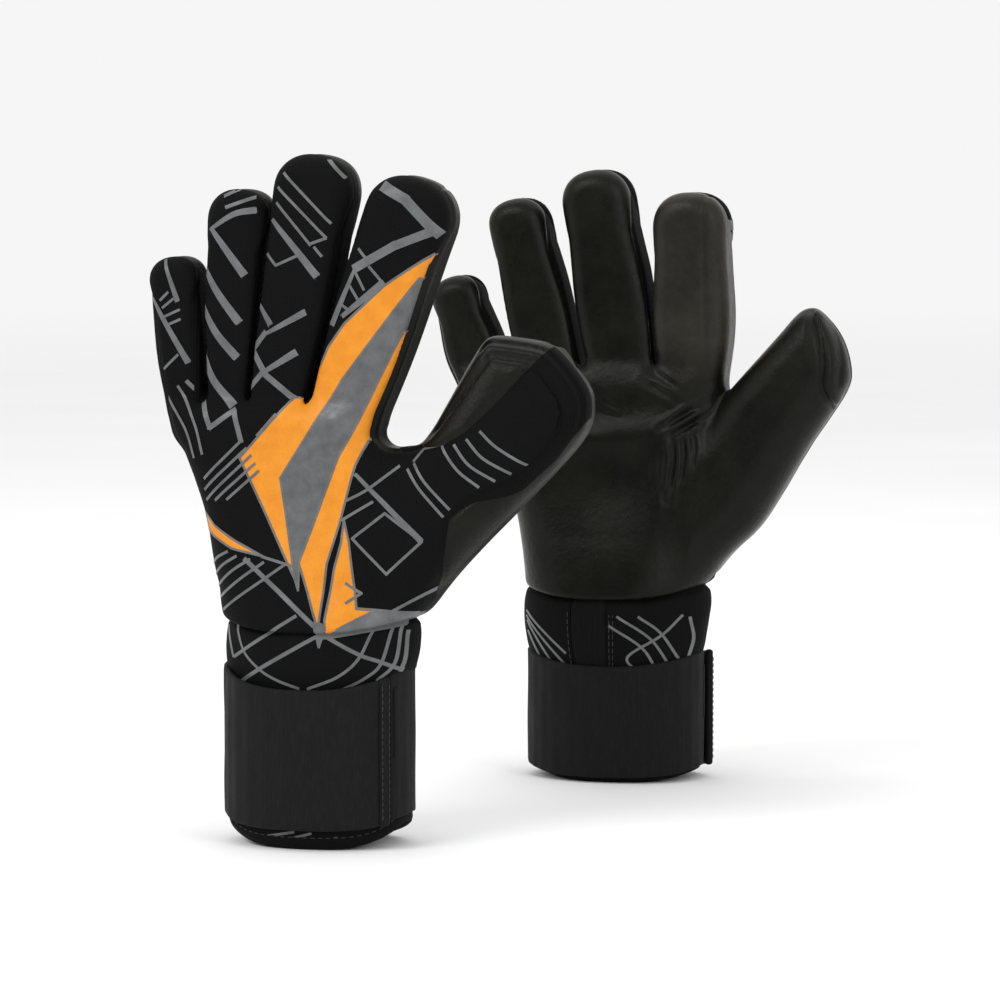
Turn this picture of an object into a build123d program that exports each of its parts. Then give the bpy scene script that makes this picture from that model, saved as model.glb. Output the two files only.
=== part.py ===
from build123d import *
import os
from math import cos, radians, sin, tan

# A pair of goalkeeper gloves standing on their cuffs, in millimetres.
# Every glove is drawn in its own frame: +Z to the fingertips, +X to the thumb, the back of
# the hand at -Y and the palm at +Y, with the origin at the centre of the cuff's lower edge.
# The left glove keeps that frame. The right glove is its mirror image, palm towards -Y.

# ---- cuff and wrist strap -----------------------------------------------------------------
CUFF_WALL = 3.0
HEM_Z = 5.5  # height of the binding folded over the cuff's lower edge
HEM_PROUD = 0.7
HEM_FOLD = 1.5  # thickness of the binding under the neoprene's lower edge
INSERT_X = (-12.0, 2.0)  # the elastic insert let into the palm side of the cuff
STRAP_THICK = 2.4
# Bearings round the cuff, anticlockwise from the thumb side: 90 is the palm, 270 the back.
BAND_END = 178.0  # the sewn band runs round the palm to here
FLAP_START = 182.0  # the flap runs from here over the back to each glove's "flap_end"
TAB_SPAN = 7.0  # the folded end that is gripped
HOOK_SPAN = 39.0
LOOP_SPAN = 58.0
BAND_GAP = 4.0  # from the flap's end to the start of the band
ANCHOR_TURN = (7.0, 13.0)  # from the flap's end to the reinforced patch where the band is sewn on
PATCH_THICK = 1.2  # hook tape and loop tape alike
PATCH_MARGIN = 4.0  # strap edge to patch edge
ANCHOR_MARGIN = 11.0
ANCHOR_THICK = 0.8
TAB_FOLD = 1.0  # how much thicker the gripped end is
FLAP_HINGE = (3.6, -1.0)  # out from the cuff's little finger side, and Y: where the flap folds back
FLAP_OFFSET = 3.0  # inside of the flap, out from the cuff

# ---- hand ---------------------------------------------------------------------------------
KNUCKLE_Z = 166.0
KNUCKLE_B = 17.0  # half depth of the hand at the knuckles
LATEX = 3.0
LINING = 1.2
BACK_SHELL = 2.0
SIDE_SEAM_Y = 2.0  # the palm and the back panel meet here

# ---- fingers: base half width, tip half width; base and tip centres come from each glove ----
FINGER_RADII = {"little": (9.0, 11.0), "ring": (8.9, 12.4), "middle": (10.6, 14.4), "index": (13.2, 16.6)}
FINGER_WALL = 2.6
FINGER_GAP = 0.3  # clear of the hand at the knuckle line
FINGER_HINGE_Y = 13.2  # the crease on the palm side
SEAM_HALF = 4.0  # half the width of the side strips between latex and back

# ---- thumb --------------------------------------------------------------------------------
THUMB_BASE = (49.7, 130.7)  # X and Z of the crease plane's centre
THUMB_LEAN = 38.0  # degrees from upright, outwards
THUMB_LENGTH = 57.0  # crease to the centre of the round tip
THUMB_RADII = (17.5, 18.5)
THUMB_HINGE_Y = 18.0
STUB_LENGTH = 30.0  # the part of the thumb's root that belongs to the hand

# ---- each glove: where it stands, and how its cuff, hand and fingers lie ---------------------
# "cuff" is the half width and half depth outside the neoprene, and "wrist_z" the seam above it.
GLOVES = {
    "left": {
        "stand": (-49.8, -101.5),
        "mirrored": False,
        "cuff": (35.0, 25.0),
        "strap_z": (7.5, 67.0),
        "flap_end": 326.0,
        "wrist_z": 89.0,
        "knuckle_x": -15.0,
        "knuckle_a": 47.0,
        "bases": {"little": -52.3, "ring": -33.8, "middle": -13.8, "index": 12.6},
        "tips": {"little": (-57.0, 215.0), "ring": (-32.0, 238.0), "middle": (-1.5, 250.0), "index": (36.0, 241.0)},
    },
    "right": {
        "stand": (14.6, 102.5),
        "mirrored": True,
        "cuff": (36.0, 24.0),
        "strap_z": (6.5, 57.0),
        "flap_end": 348.0,
        "wrist_z": 82.0,
        "knuckle_x": -9.0,
        "knuckle_a": 56.0,
        "bases": {"little": -53.0, "ring": -26.5, "middle": 5.8, "index": 36.0},
        "tips": {"little": (-67.0, 205.0), "ring": (-43.0, 238.0), "middle": (-8.0, 251.0), "index": (34.0, 239.0)},
    },
}
FINGERS = ("little", "ring", "middle", "index")
BIG = 400.0  # larger than the glove, for cutting tools


def slab(low, high):
    """A box between two corners."""
    size = [b - a for a, b in zip(low, high)]
    centre = [(a + b) / 2 for a, b in zip(low, high)]
    return Pos(*centre) * Box(*size)


def oval_tube(cuff, out, inner, span):
    """A tube round the cuff, its faces out and inner millimetres outside the cuff's own surface."""
    half_width, half_depth = cuff
    low, high = span
    face = Ellipse(half_width + out, half_depth + out) - Ellipse(half_width + inner, half_depth + inner)
    return Pos(0, 0, low) * extrude(face, high - low)


def wedge(angles, low, high):
    """A tall wedge from the cuff's axis between two bearings, to cut a strip out of a tube."""
    first, last = angles
    steps = 8
    turns = [first + (last - first) * i / steps for i in range(steps + 1)]
    rim = [(BIG * cos(radians(t)), BIG * sin(radians(t))) for t in turns]
    return Pos(0, 0, low) * extrude(make_face(Polyline((0, 0), *rim, close=True)), high - low)


def strip(cuff, out, inner, span, angles):
    """Part of a tube round the cuff."""
    return oval_tube(cuff, out, inner, span) & wedge(angles, *span)


def narrowed(span, margin):
    """A span with the same margin taken off both its ends."""
    return (span[0] + margin, span[1] - margin)


def cuff_parts(glove):
    """The neoprene cuff, its insert, its hem and what is sewn to it."""
    cuff, strap_z = glove["cuff"], glove["strap_z"]
    tube = oval_tube(cuff, 0, -CUFF_WALL, (HEM_FOLD, glove["wrist_z"]))
    gap = slab((INSERT_X[0], 0, 0), (INSERT_X[1], BIG, BIG))
    hem = oval_tube(cuff, HEM_PROUD, -CUFF_WALL - HEM_PROUD, (0, HEM_Z))
    hem -= oval_tube(cuff, 0, -CUFF_WALL, (HEM_FOLD, BIG))
    flap_end = glove["flap_end"]
    band_start = flap_end + BAND_GAP
    patch_z, anchor_z = narrowed(strap_z, PATCH_MARGIN), narrowed(strap_z, ANCHOR_MARGIN)
    anchor_angles = [flap_end + turn for turn in ANCHOR_TURN]
    return {
        "cuff_body": tube - gap,
        "cuff_insert": tube & gap,
        "cuff_hem": hem,
        "strap_band": strip(cuff, STRAP_THICK, 0, strap_z, (band_start - 360, BAND_END)),
        "loop_patch": strip(cuff, PATCH_THICK, 0, patch_z, (flap_end - LOOP_SPAN, band_start)),
        "strap_anchor": strip(cuff, STRAP_THICK + ANCHOR_THICK, STRAP_THICK, anchor_z, anchor_angles),
    }


def flap_parts(glove):
    """The part of the strap that peels open, with the hook tape under its end."""
    cuff, strap_z = glove["cuff"], glove["strap_z"]
    patch_z = narrowed(strap_z, PATCH_MARGIN)
    outer = FLAP_OFFSET + STRAP_THICK
    tab_start = glove["flap_end"] - TAB_SPAN
    hook_angles = (tab_start - HOOK_SPAN, tab_start)
    return {
        "strap_flap": strip(cuff, outer, FLAP_OFFSET, strap_z, (FLAP_START, tab_start)),
        "hook_patch": strip(cuff, FLAP_OFFSET, FLAP_OFFSET - PATCH_THICK, patch_z, hook_angles),
        "strap_tab": strip(cuff, outer + TAB_FOLD, FLAP_OFFSET, strap_z, (tab_start, glove["flap_end"])),
    }


def thumb_place():
    """The thumb's own frame: its axis is +Z, its origin the middle of the crease plane."""
    return Pos(THUMB_BASE[0], 0, THUMB_BASE[1]) * Rot(0, THUMB_LEAN, 0)


def hand_layer(glove, inset):
    """The hand from wrist to knuckles with the root of the thumb, inset from its outer surface."""
    half_width, half_depth = glove["cuff"]
    wrist = Pos(0, 0, glove["wrist_z"]) * Ellipse(half_width - inset, half_depth - inset)
    knuckles = Pos(glove["knuckle_x"], 0, KNUCKLE_Z) * Ellipse(glove["knuckle_a"] - inset, KNUCKLE_B - inset)
    length = STUB_LENGTH - inset
    stub = Pos(0, 0, -length / 2) * Cylinder(THUMB_RADII[0] - inset, length)
    return loft([wrist.face(), knuckles.face()]) + thumb_place() * stub


def hand_parts(glove):
    """Palm latex and its lining, the back panel and the foam under it."""
    outer = hand_layer(glove, 0)
    under_latex = hand_layer(glove, LATEX)
    under_back = hand_layer(glove, BACK_SHELL)
    cavity = hand_layer(glove, LATEX + LINING)
    palm_side = slab((-BIG, SIDE_SEAM_Y, 0), (BIG, BIG, BIG))
    back_side = slab((-BIG, -BIG, 0), (BIG, SIDE_SEAM_Y, BIG))
    room = THUMB_RADII[0] + 0.4
    thumb_room = thumb_place() * slab((-room, -BIG, 0), (room, BIG, BIG))
    layers = {
        "palm_latex": (outer - under_latex) & palm_side,
        "palm_lining": (under_latex - cavity) & palm_side,
        "back_panel": (outer - under_back) & back_side,
        "back_foam": (under_back - cavity) & back_side,
    }
    return {name: layer - thumb_room for name, layer in layers.items()}


def capsule(base_radius, tip_radius, length, below):
    """A tapered round finger about +Z with a half-ball tip, starting below the origin."""
    slope = (tip_radius - base_radius) / length
    foot = (base_radius - slope * below, -below)
    top = (0, length + tip_radius)
    bend = (tip_radius * sin(radians(45)), length + tip_radius * cos(radians(45)))
    outline = Polyline((0, -below), foot, (tip_radius, length))
    outline += ThreePointArc((tip_radius, length), bend, top)
    outline += Line(top, (0, -below))
    return revolve(Plane.XZ * make_face(outline), Axis.Z)


def digit_parts(base_radius, tip_radius, length, below):
    """Latex front, back and the two side strips of one finger or thumb, in its own frame."""
    shell = capsule(base_radius, tip_radius, length, below)
    shell -= capsule(base_radius - FINGER_WALL, tip_radius - FINGER_WALL, length, below)
    front = slab((-BIG, SEAM_HALF, -BIG), (BIG, BIG, BIG)) + slab((-BIG, 0, length), (BIG, BIG, BIG))
    back = slab((-BIG, -BIG, -BIG), (BIG, -SEAM_HALF, BIG)) + slab((-BIG, -BIG, length), (BIG, 0, BIG))
    sides = slab((-BIG, -SEAM_HALF, -BIG), (BIG, SEAM_HALF, length))
    return {"latex": shell & front, "back": shell & back, "gussets": shell & sides}


def finger_parts(glove, finger):
    """One finger, leaning from its base at the knuckle line to its tip."""
    base_x = glove["bases"][finger]
    tip_x, tip_z = glove["tips"][finger]
    rise, run = tip_z - KNUCKLE_Z, tip_x - base_x
    length = (rise**2 + run**2) ** 0.5
    lean = Vector(0, 0, 1).get_angle(Vector(run, 0, rise)) * (1 if run > 0 else -1)
    place = Pos(base_x, 0, KNUCKLE_Z) * Rot(0, lean, 0)
    above = slab((-BIG, -BIG, KNUCKLE_Z + FINGER_GAP), (BIG, BIG, BIG))
    base_radius, tip_radius = FINGER_RADII[finger]
    below = base_radius * abs(tan(radians(lean))) + 2
    parts = digit_parts(base_radius, tip_radius, length, below)
    return {f"{finger}_{name}": (place * solid) & above for name, solid in parts.items()}


def thumb_parts():
    """The thumb, clear of its root by the same gap."""
    parts = digit_parts(*THUMB_RADII, THUMB_LENGTH, 0)
    above = slab((-BIG, -BIG, FINGER_GAP), (BIG, BIG, BIG))
    return {f"thumb_{name}": thumb_place() * (solid & above) for name, solid in parts.items()}


def hinges(glove):
    """Each joint's point and axis in the pair's frame; a positive turn bends, or opens the flap."""
    lean = radians(THUMB_LEAN)
    lines = {
        "thumb": ((THUMB_BASE[0], THUMB_HINGE_Y, THUMB_BASE[1]), (-cos(lean), 0, sin(lean))),
        "flap": ((-glove["cuff"][0] - FLAP_HINGE[0], FLAP_HINGE[1], glove["strap_z"][0]), (0, 0, -1)),
    }
    for finger in FINGERS:
        lines[finger] = ((glove["bases"][finger], FINGER_HINGE_Y, KNUCKLE_Z), (-1, 0, 0))
    flip = -1 if glove["mirrored"] else 1
    across, deep = glove["stand"]
    placed = {}
    for name, ((x, y, z), (i, j, k)) in lines.items():
        placed[name] = ((across + x, deep + flip * y, z), (flip * i, j, flip * k))
    return placed


def glove_parts(glove):
    """Every piece of one glove, in the glove's own frame."""
    parts = {**cuff_parts(glove), **flap_parts(glove), **hand_parts(glove), **thumb_parts()}
    for finger in FINGERS:
        parts.update(finger_parts(glove, finger))
    return parts


def stand(glove, shape):
    """A piece of a glove, mirrored if it is the right glove's, in the pair's frame."""
    if glove["mirrored"]:
        shape = mirror(shape, Plane.XZ)
    return Pos(*glove["stand"], 0) * shape


def main():
    os.makedirs("parts", exist_ok=True)
    everything = []
    for side, glove in GLOVES.items():
        for name, shape in glove_parts(glove).items():
            solids = stand(glove, shape).solids()
            export_step(Compound(solids) if len(solids) > 1 else solids[0], f"parts/{side}_{name}.step")
            everything += solids
        for name, (point, axis) in hinges(glove).items():
            print(f"{side}_{name} turns about {axis} through {point}")
    print("overall", Compound(everything).bounding_box())


if __name__ == "__main__":
    main()
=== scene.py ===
"""A pair of goalkeeper gloves: the sewn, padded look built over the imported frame.

Each glove is worked out in millimetres in its own frame, the same one for both hands: Z up to the
fingertips, X to the thumb, the back of the hand at -Y and the palm at +Y. The right glove is then
mirrored, and both are placed in the pair's frame in metres.
"""

import math

import bmesh
import bpy
import numpy as np
import openvdb
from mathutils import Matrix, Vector
from mathutils.bvhtree import BVHTree
from mathutils.geometry import delaunay_2d_cdt


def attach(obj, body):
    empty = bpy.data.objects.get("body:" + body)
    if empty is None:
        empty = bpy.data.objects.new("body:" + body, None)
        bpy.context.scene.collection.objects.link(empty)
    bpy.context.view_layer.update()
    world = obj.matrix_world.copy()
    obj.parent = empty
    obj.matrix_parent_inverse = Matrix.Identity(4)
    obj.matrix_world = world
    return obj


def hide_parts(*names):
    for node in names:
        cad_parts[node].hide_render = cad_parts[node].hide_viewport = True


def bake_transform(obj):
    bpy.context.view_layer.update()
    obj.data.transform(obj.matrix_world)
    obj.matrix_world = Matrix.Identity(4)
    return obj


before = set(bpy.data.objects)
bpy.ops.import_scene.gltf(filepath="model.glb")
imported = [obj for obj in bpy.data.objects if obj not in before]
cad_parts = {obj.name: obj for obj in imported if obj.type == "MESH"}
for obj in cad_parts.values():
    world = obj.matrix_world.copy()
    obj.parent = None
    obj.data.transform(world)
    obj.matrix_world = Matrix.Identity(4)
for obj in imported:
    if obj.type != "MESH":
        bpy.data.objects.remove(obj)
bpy.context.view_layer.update()        # the imported meshes, unparented, in the pair's frame

MM = 0.001
VOXEL = 0.8  # mesh size of the padded body
KNUCKLE_Z = 166.0
CUT_Z = 157.0  # below this the hand carries everything, above it each finger its own part
BEND = (158.0, 190.0)  # heights between which a finger bends away from the hand
THUMB_BASE = (49.7, 130.7)
THUMB_SIN, THUMB_COS = math.sin(math.radians(38)), math.cos(math.radians(38))  # how far the thumb leans
THUMB_BEND = 36.0  # length of the thumb that bends
SHELL = 3.4  # thickness of latex or back with what is sewn inside
LINING_DEPTH = 1.6  # further in than this the body is lining
WALL_STEP = 1.2  # mesh size of the hidden walls between digits
CUFF_RADIUS = 31.0  # turns bearings round the cuff into lengths

# Each finger: base centre X, half width there, tip centre (X, Z), half width there, half depth.
GLOVES = {
    "left": {
        "stand": (-49.8, -101.5),
        "mirrored": False,
        "fingers": {
            "little": (-51.9, 8.4, (-57.0, 215.2), 10.4, 10.0),
            "ring": (-35.2, 10.2, (-31.0, 239.2), 12.4, 11.0),
            "middle": (-14.6, 12.4, (-1.2, 249.2), 15.7, 12.2),
            "index": (11.8, 14.8, (36.2, 239.0), 17.5, 12.8),
        },
        "hand": [(-35, 50), (-36.5, 84), (-38.8, 94), (-41.8, 112), (-43.8, 127), (-51, 145), (-57, 160),
                 (-58.6, 170), (-58, 180), (-30, 181), (10, 181), (25.5, 178), (24.5, 166), (25.5, 158),
                 (30, 153), (39, 151.5), (42, 140), (38, 110), (38.5, 84), (35, 50)],
        "thumb": [(34, 149), (44.5, 156), (54.5, 174.5), (64, 191.5), (68, 196.2), (74, 196), (90, 194), (96, 190.5),
                  (106, 178), (108, 172), (107.5, 163), (102, 153.5), (79, 129), (65, 115), (53, 102), (43, 88.5),
                  (30, 86), (22, 110), (26, 135)],
        "cuff": [(0, 34.6), (4, 37.0), (9, 37.8), (14, 34.8), (57, 34.2), (66, 36.8), (74, 37.4), (83, 36.8),
                 (92, 35.0)],
        "oval": (35.0, 25.0),
        "cuff_flare": 3.4,
        "cuff_shift": 0.5,
        "bulge": 0.9,
        "thumb_root": (8.0, -28.0),
        "latex_start": 0.0,
        "crotch": (-4.0, -9.0),
        "seam_z": (83.0, 87.5),
        "hem_lift": (9.5, 9.5),
        "strap": (9.0, 4.5, 61.0, 7.5),
        "flap_end": 326.0,
        "separation": [(-43.4, -44.9), (-25.2, -18.4), (-2.9, 17.0)],
    },
    "right": {
        "stand": (14.6, 102.5),
        "mirrored": True,
        "fingers": {
            "little": (-55.8, 11.0, (-67.2, 202.2), 11.2, 10.8),
            "ring": (-24.3, 13.7, (-40.0, 233.6), 12.8, 11.4),
            "middle": (7.0, 15.2, (-5.2, 243.8), 14.8, 12.4),
            "index": (35.2, 13.6, (35.0, 233.4), 15.8, 13.2),
        },
        "hand": [(-36, 45), (-36.8, 79), (-38.4, 95), (-42, 116), (-49, 132), (-59.8, 151), (-67, 166), (-66, 178),
                 (-30, 181), (10, 181), (43, 178), (44.5, 168), (43, 150), (40, 120), (39, 80), (36, 45)],
        "thumb": [(42, 152), (50, 164), (60, 175), (74, 190), (81, 198.5), (86, 201.5), (91, 200), (100.4, 189),
                  (104.3, 174), (102, 166), (95.2, 156), (85.8, 143), (73.8, 123), (64.2, 107.5), (52, 97), (42, 84),
                  (30, 84), (22, 110), (28, 140)],
        "cuff": [(0, 35.6), (4, 37.8), (7, 38.0), (12, 35.6), (47, 35.4), (56, 38.5), (66, 40.1), (76, 40.0),
                 (86, 37.4)],
        "oval": (36.0, 24.0),
        "cuff_flare": 2.2,
        "cuff_shift": 1.3,
        "bulge": 2.2,
        "thumb_root": (14.0, -22.0),
        "latex_start": 13.0,
        "crotch": (0.0, 0.0),
        "seam_z": (77.5, 82.0),
        "hem_lift": (4.0, 9.0),
        "strap": (3.2, 3.5, 48.8, 5.0),
        "flap_end": 348.0,
        "separation": [(-40.2, -53.6), (-9.9, -24.2), (22.0, 14.8)],
    },
}
FINGERS = ("little", "ring", "middle", "index")
DIGITS = FINGERS + ("thumb",)
DIGIT_BACK_SEAM = 8.6  # how far behind a digit's middle its back panel is sewn on
DIGIT_PALM_SEAM = 8.2


# ---- small numeric tools ------------------------------------------------------------------------
def smooth_min(a, b, k):
    h = np.maximum(k - np.abs(a - b), 0.0) / k
    return np.minimum(a, b) - h * h * k * 0.25


def smooth_max(a, b, k):
    return -smooth_min(-a, -b, k)


def smoothstep(low, high, x):
    t = np.clip((x - low) / (high - low), 0.0, 1.0)
    return t * t * (3 - 2 * t)


def bell(*shares):
    """One at zero, fading out on both sides at about one."""
    return np.exp(-sum(share ** 2 for share in shares))


def unit(rows):
    return rows / (np.linalg.norm(rows, axis=1)[:, None] + 1e-9)


def smooth_interp(x, at, values):
    """Interpolation whose corners are softened over a few millimetres."""
    return sum(np.interp(x + shift, at, values) for shift in (-3, -1.5, 0, 1.5, 3)) / 5


def rounded(points):
    """A closed outline with its corners cut back again and again until they are round."""
    p = np.array(points, float)
    for _ in range(3):
        following = np.roll(p, -1, axis=0)
        p = np.stack([0.75 * p + 0.25 * following, 0.25 * p + 0.75 * following], axis=1).reshape(-1, 2)
    return p


def curve(points, step=1.0):
    """A smooth open line through the points, sampled about every step millimetres."""
    p = np.array(points, float)
    if len(p) == 2:
        n = max(2, int(np.linalg.norm(p[1] - p[0]) / step) + 1)
        return p[0] + (p[1] - p[0]) * np.linspace(0, 1, n)[:, None]
    ends = np.vstack([2 * p[0] - p[1], p, 2 * p[-1] - p[-2]])
    out = []
    for i in range(1, len(ends) - 2):
        a, b, c, d = ends[i - 1:i + 3]
        n = max(2, int(np.linalg.norm(c - b) / step))
        t = np.linspace(0, 1, n, endpoint=False)[:, None]
        out.append(0.5 * (2 * b + (c - a) * t + (2 * a - 5 * b + 4 * c - d) * t**2 + (3 * b - a - 3 * c + d) * t**3))
    out.append(p[-1:])
    return np.vstack(out)


def outline_distance(x, z, points):
    """Signed distance to a closed outline, negative inside."""
    x, z = np.broadcast_arrays(x, z)
    best = np.full(x.shape, 1e9)
    inside = np.zeros(x.shape, bool)
    for (ax, az), (bx, bz) in zip(points, np.roll(points, -1, axis=0)):
        ex, ez = bx - ax, bz - az
        t = np.clip(((x - ax) * ex + (z - az) * ez) / (ex * ex + ez * ez), 0, 1)
        best = np.minimum(best, (x - ax - t * ex) ** 2 + (z - az - t * ez) ** 2)
        crosses = (az > z) != (bz > z)
        if abs(ez) > 1e-9:
            inside ^= crosses & (x < ax + (z - az) * ex / ez)
    return (np.sqrt(best) * np.where(inside, -1, 1)).astype(np.float32)


def line_distance(x, z, points):
    """Distance to an open line."""
    best = np.full(np.broadcast(x, z).shape, 1e9)
    for (ax, az), (bx, bz) in zip(points[:-1], points[1:]):
        ex, ez = bx - ax, bz - az
        t = np.clip(((x - ax) * ex + (z - az) * ez) / (ex * ex + ez * ez + 1e-9), 0, 1)
        best = np.minimum(best, (x - ax - t * ex) ** 2 + (z - az - t * ez) ** 2)
    return np.sqrt(best)


def pillow(flat, y, half_depth, edge):
    """A flat outline's distance given depth, its edge rounded."""
    a = flat + edge
    b = np.abs(y) - half_depth + edge
    outside = np.sqrt(np.maximum(a, 0) ** 2 + np.maximum(b, 0) ** 2)
    return np.minimum(np.maximum(a, b), 0) + outside - edge


# ---- the padded body of a glove as a distance field ------------------------------------------------
def thumb_frame(x, z):
    """Distance along the thumb from its base, and across it, away from the index finger."""
    dx, dz = x - THUMB_BASE[0], z - THUMB_BASE[1]
    return dx * THUMB_SIN + dz * THUMB_COS, dx * THUMB_COS - dz * THUMB_SIN


def thumb_spot(along, across=0.0):
    """X and Z of a place given along and across the thumb."""
    return (THUMB_BASE[0] + along * THUMB_SIN + across * THUMB_COS,
            THUMB_BASE[1] + along * THUMB_COS - across * THUMB_SIN)


def thumb_middle(along):
    """The thumb's mid plane comes forward towards its tip."""
    return 5.0 * smoothstep(0, 70, along)


def finger_frame(glove, finger, x, z):
    """Distance along a finger from the knuckle line and across it, and the finger's length."""
    base_x, _, tip, _, _ = glove["fingers"][finger]
    dx, dz = tip[0] - base_x, tip[1] - KNUCKLE_Z
    length = math.hypot(dx, dz)
    ax, az = dx / length, dz / length
    return (x - base_x) * ax + (z - KNUCKLE_Z) * az, (x - base_x) * az - (z - KNUCKLE_Z) * ax, length


def finger_middle(along):
    """A finger's mid plane curls a little towards the palm."""
    return 3.0 * np.clip(along, 0, 100) ** 2 / 85.0**2


def finger_field(glove, finger, x, y, z):
    along, across, length = finger_frame(glove, finger, x, z)
    _, base_half, _, tip_half, depth = glove["fingers"][finger]
    t = np.clip(along / length, 0, 1)
    half = base_half + (tip_half - base_half) * t**0.8 + glove["bulge"] * np.sin(math.pi * t**0.8) ** 2
    over = np.maximum(along - length, 0)
    round_tip = (over**2.3 + np.abs(across) ** 2.3) ** (1 / 2.3) - tip_half
    half = half * (1 - 0.028 * np.clip(-along, 0, 14))
    flat = np.where(along < length, np.abs(across) - half, round_tip)
    deep = (depth + 0.4) * (0.96 + 0.08 * t)
    body = pillow(flat, y - finger_middle(along), deep, depth * 0.64)
    return smooth_max(body, -12 - along, 6)


def seam_heights(glove, x):
    """Height of the seam between hand and cuff."""
    low, high = glove["seam_z"]
    return low + (high - low) * np.clip(np.abs(x) / 37.0, 0, 1.3) ** 2


def separation_x(glove, gap, z):
    """Where two neighbouring fingers part: a straight line in X against Z."""
    bottom, top = glove["separation"][gap]
    return bottom + (top - bottom) * (z - KNUCKLE_Z) / 70.0


def web_height(y):
    """The webs between the fingers are higher on the palm side."""
    return 173.0 + 0.35 * y


def finger_seams(finger, along, across, length):
    """Heights on a finger's side where the back and the palm panel are sewn on.

    The index finger's latex wraps round to the back on the thumb's side.
    """
    reach = 0.86 * length + 14
    closing = np.sqrt(np.clip((reach - along) / 16.0, 0.02, 1.0))
    back = -DIGIT_BACK_SEAM * closing
    palm = DIGIT_PALM_SEAM * closing
    if finger == "index":
        palm = palm + (back - palm) * smoothstep(-4, 2, across)
    return back, palm


def thumb_latex_edges(glove, along):
    """Where the latex that wraps round the thumb meets its back panel, across the thumb."""
    upper = np.interp(along - glove["latex_start"], [3, 8, 12, 15, 21, 32, 46, 71, 90],
                      [-300, -60, -25, -18.3, -12.1, -7.7, -5.6, -3.9, -3])
    lower = np.interp(along, [-60, -38, -18, -7, 2, 14, 27, 44, 62, 90],
                      [90, 21, 18, 13, 8.5, 10.5, 17, 19.5, 19, 14])
    return upper, lower


def hand_seams(x, z):
    """On the hand's sides: where the back panel ends, and where the palm begins."""
    side = smoothstep(-20, 10, x)
    t = np.clip((z - 84.0) / 66.0, 0, 1)
    back = -DIGIT_BACK_SEAM * t * (1 - side) - side * (DIGIT_BACK_SEAM * smoothstep(135, 160, z))
    palm = DIGIT_PALM_SEAM * t * (1 - side) + 1.5 * (1 - t) * (1 - side) + back * side
    return back, np.maximum(palm, back)


def palm_relief(glove, x, z):
    """How far the palm side is pressed in, by place: the hollow, the pads and the creases."""
    relief = 3.4 * bell((x + 2) / 26, (z - 124) / 20)
    level = z - 0.1 * x
    relief -= 2.0 * bell((x + 2) / 28, (level - 146) / 7)
    relief += 0.9 * bell((x + 2) / 28, (level - 156) / 6)
    rolled_tip = [
        ([(88, 200), (92.5, 191), (94.5, 178), (94, 168), (98, 158)], 1.3, 1.1),
        ([(91, 199.5), (95.7, 190.5), (97.7, 178), (97.2, 169), (100, 161)], -0.9, 1.9),
        ([(94, 197), (99, 188), (100.9, 178), (100.4, 170)], 0.8, 0.9),
    ]
    for points, depth, width in rolled_tip:
        relief += depth * bell(line_distance(x, z, curve(points, 3.0)) / width)
    creases = [
        ([(25, 150), (33, 155), (42, 161)], 1.3, 1.2),
        ([(26, 145.5), (35, 150.5), (43, 156)], 1.0, 1.1),
        ([(29, 151), (30.5, 138), (28, 120)], 1.0, 1.2),
        ([(33, 150), (35, 139), (33.5, 124)], 0.9, 1.1),
        ([(37, 151), (39, 142), (38.5, 130)], 0.8, 1.1),
        ([(25.5, 140), (25, 129), (29, 114)], 0.5, 1.3),
        ([(-5, 166), (1, 160.5), (8, 158)], 0.3, 1.3),
        ([(-6, 160), (2, 155), (11, 153.5)], 0.3, 1.3),
        ([(18, 175), (26, 170.5), (34, 166)], 0.5, 1.1),
        ([(16, 170), (24, 166), (32, 161.5)], 0.5, 1.1),
    ]
    for points, depth, width in creases:
        line = curve(points, 3.0) + glove["crotch"]
        d = line_distance(x, z, line)
        ends = np.minimum(np.hypot(x - line[0, 0], z - line[0, 1]), np.hypot(x - line[-1, 0], z - line[-1, 1]))
        fade = smoothstep(0, 7, ends)
        relief += fade * depth * (bell(d / width) - 0.5 * bell((d - 2.3 * width) / width))
    return relief


def back_relief(x, z):
    """Slight waves in the padded back."""
    waves = 0.35 * np.sin(x / 9.0 + 0.8 * np.sin(z / 21.0)) * np.sin(z / 13.0 + 0.5)
    return waves + 0.9 * bell((z - 99) / 5) * 0.6


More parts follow.
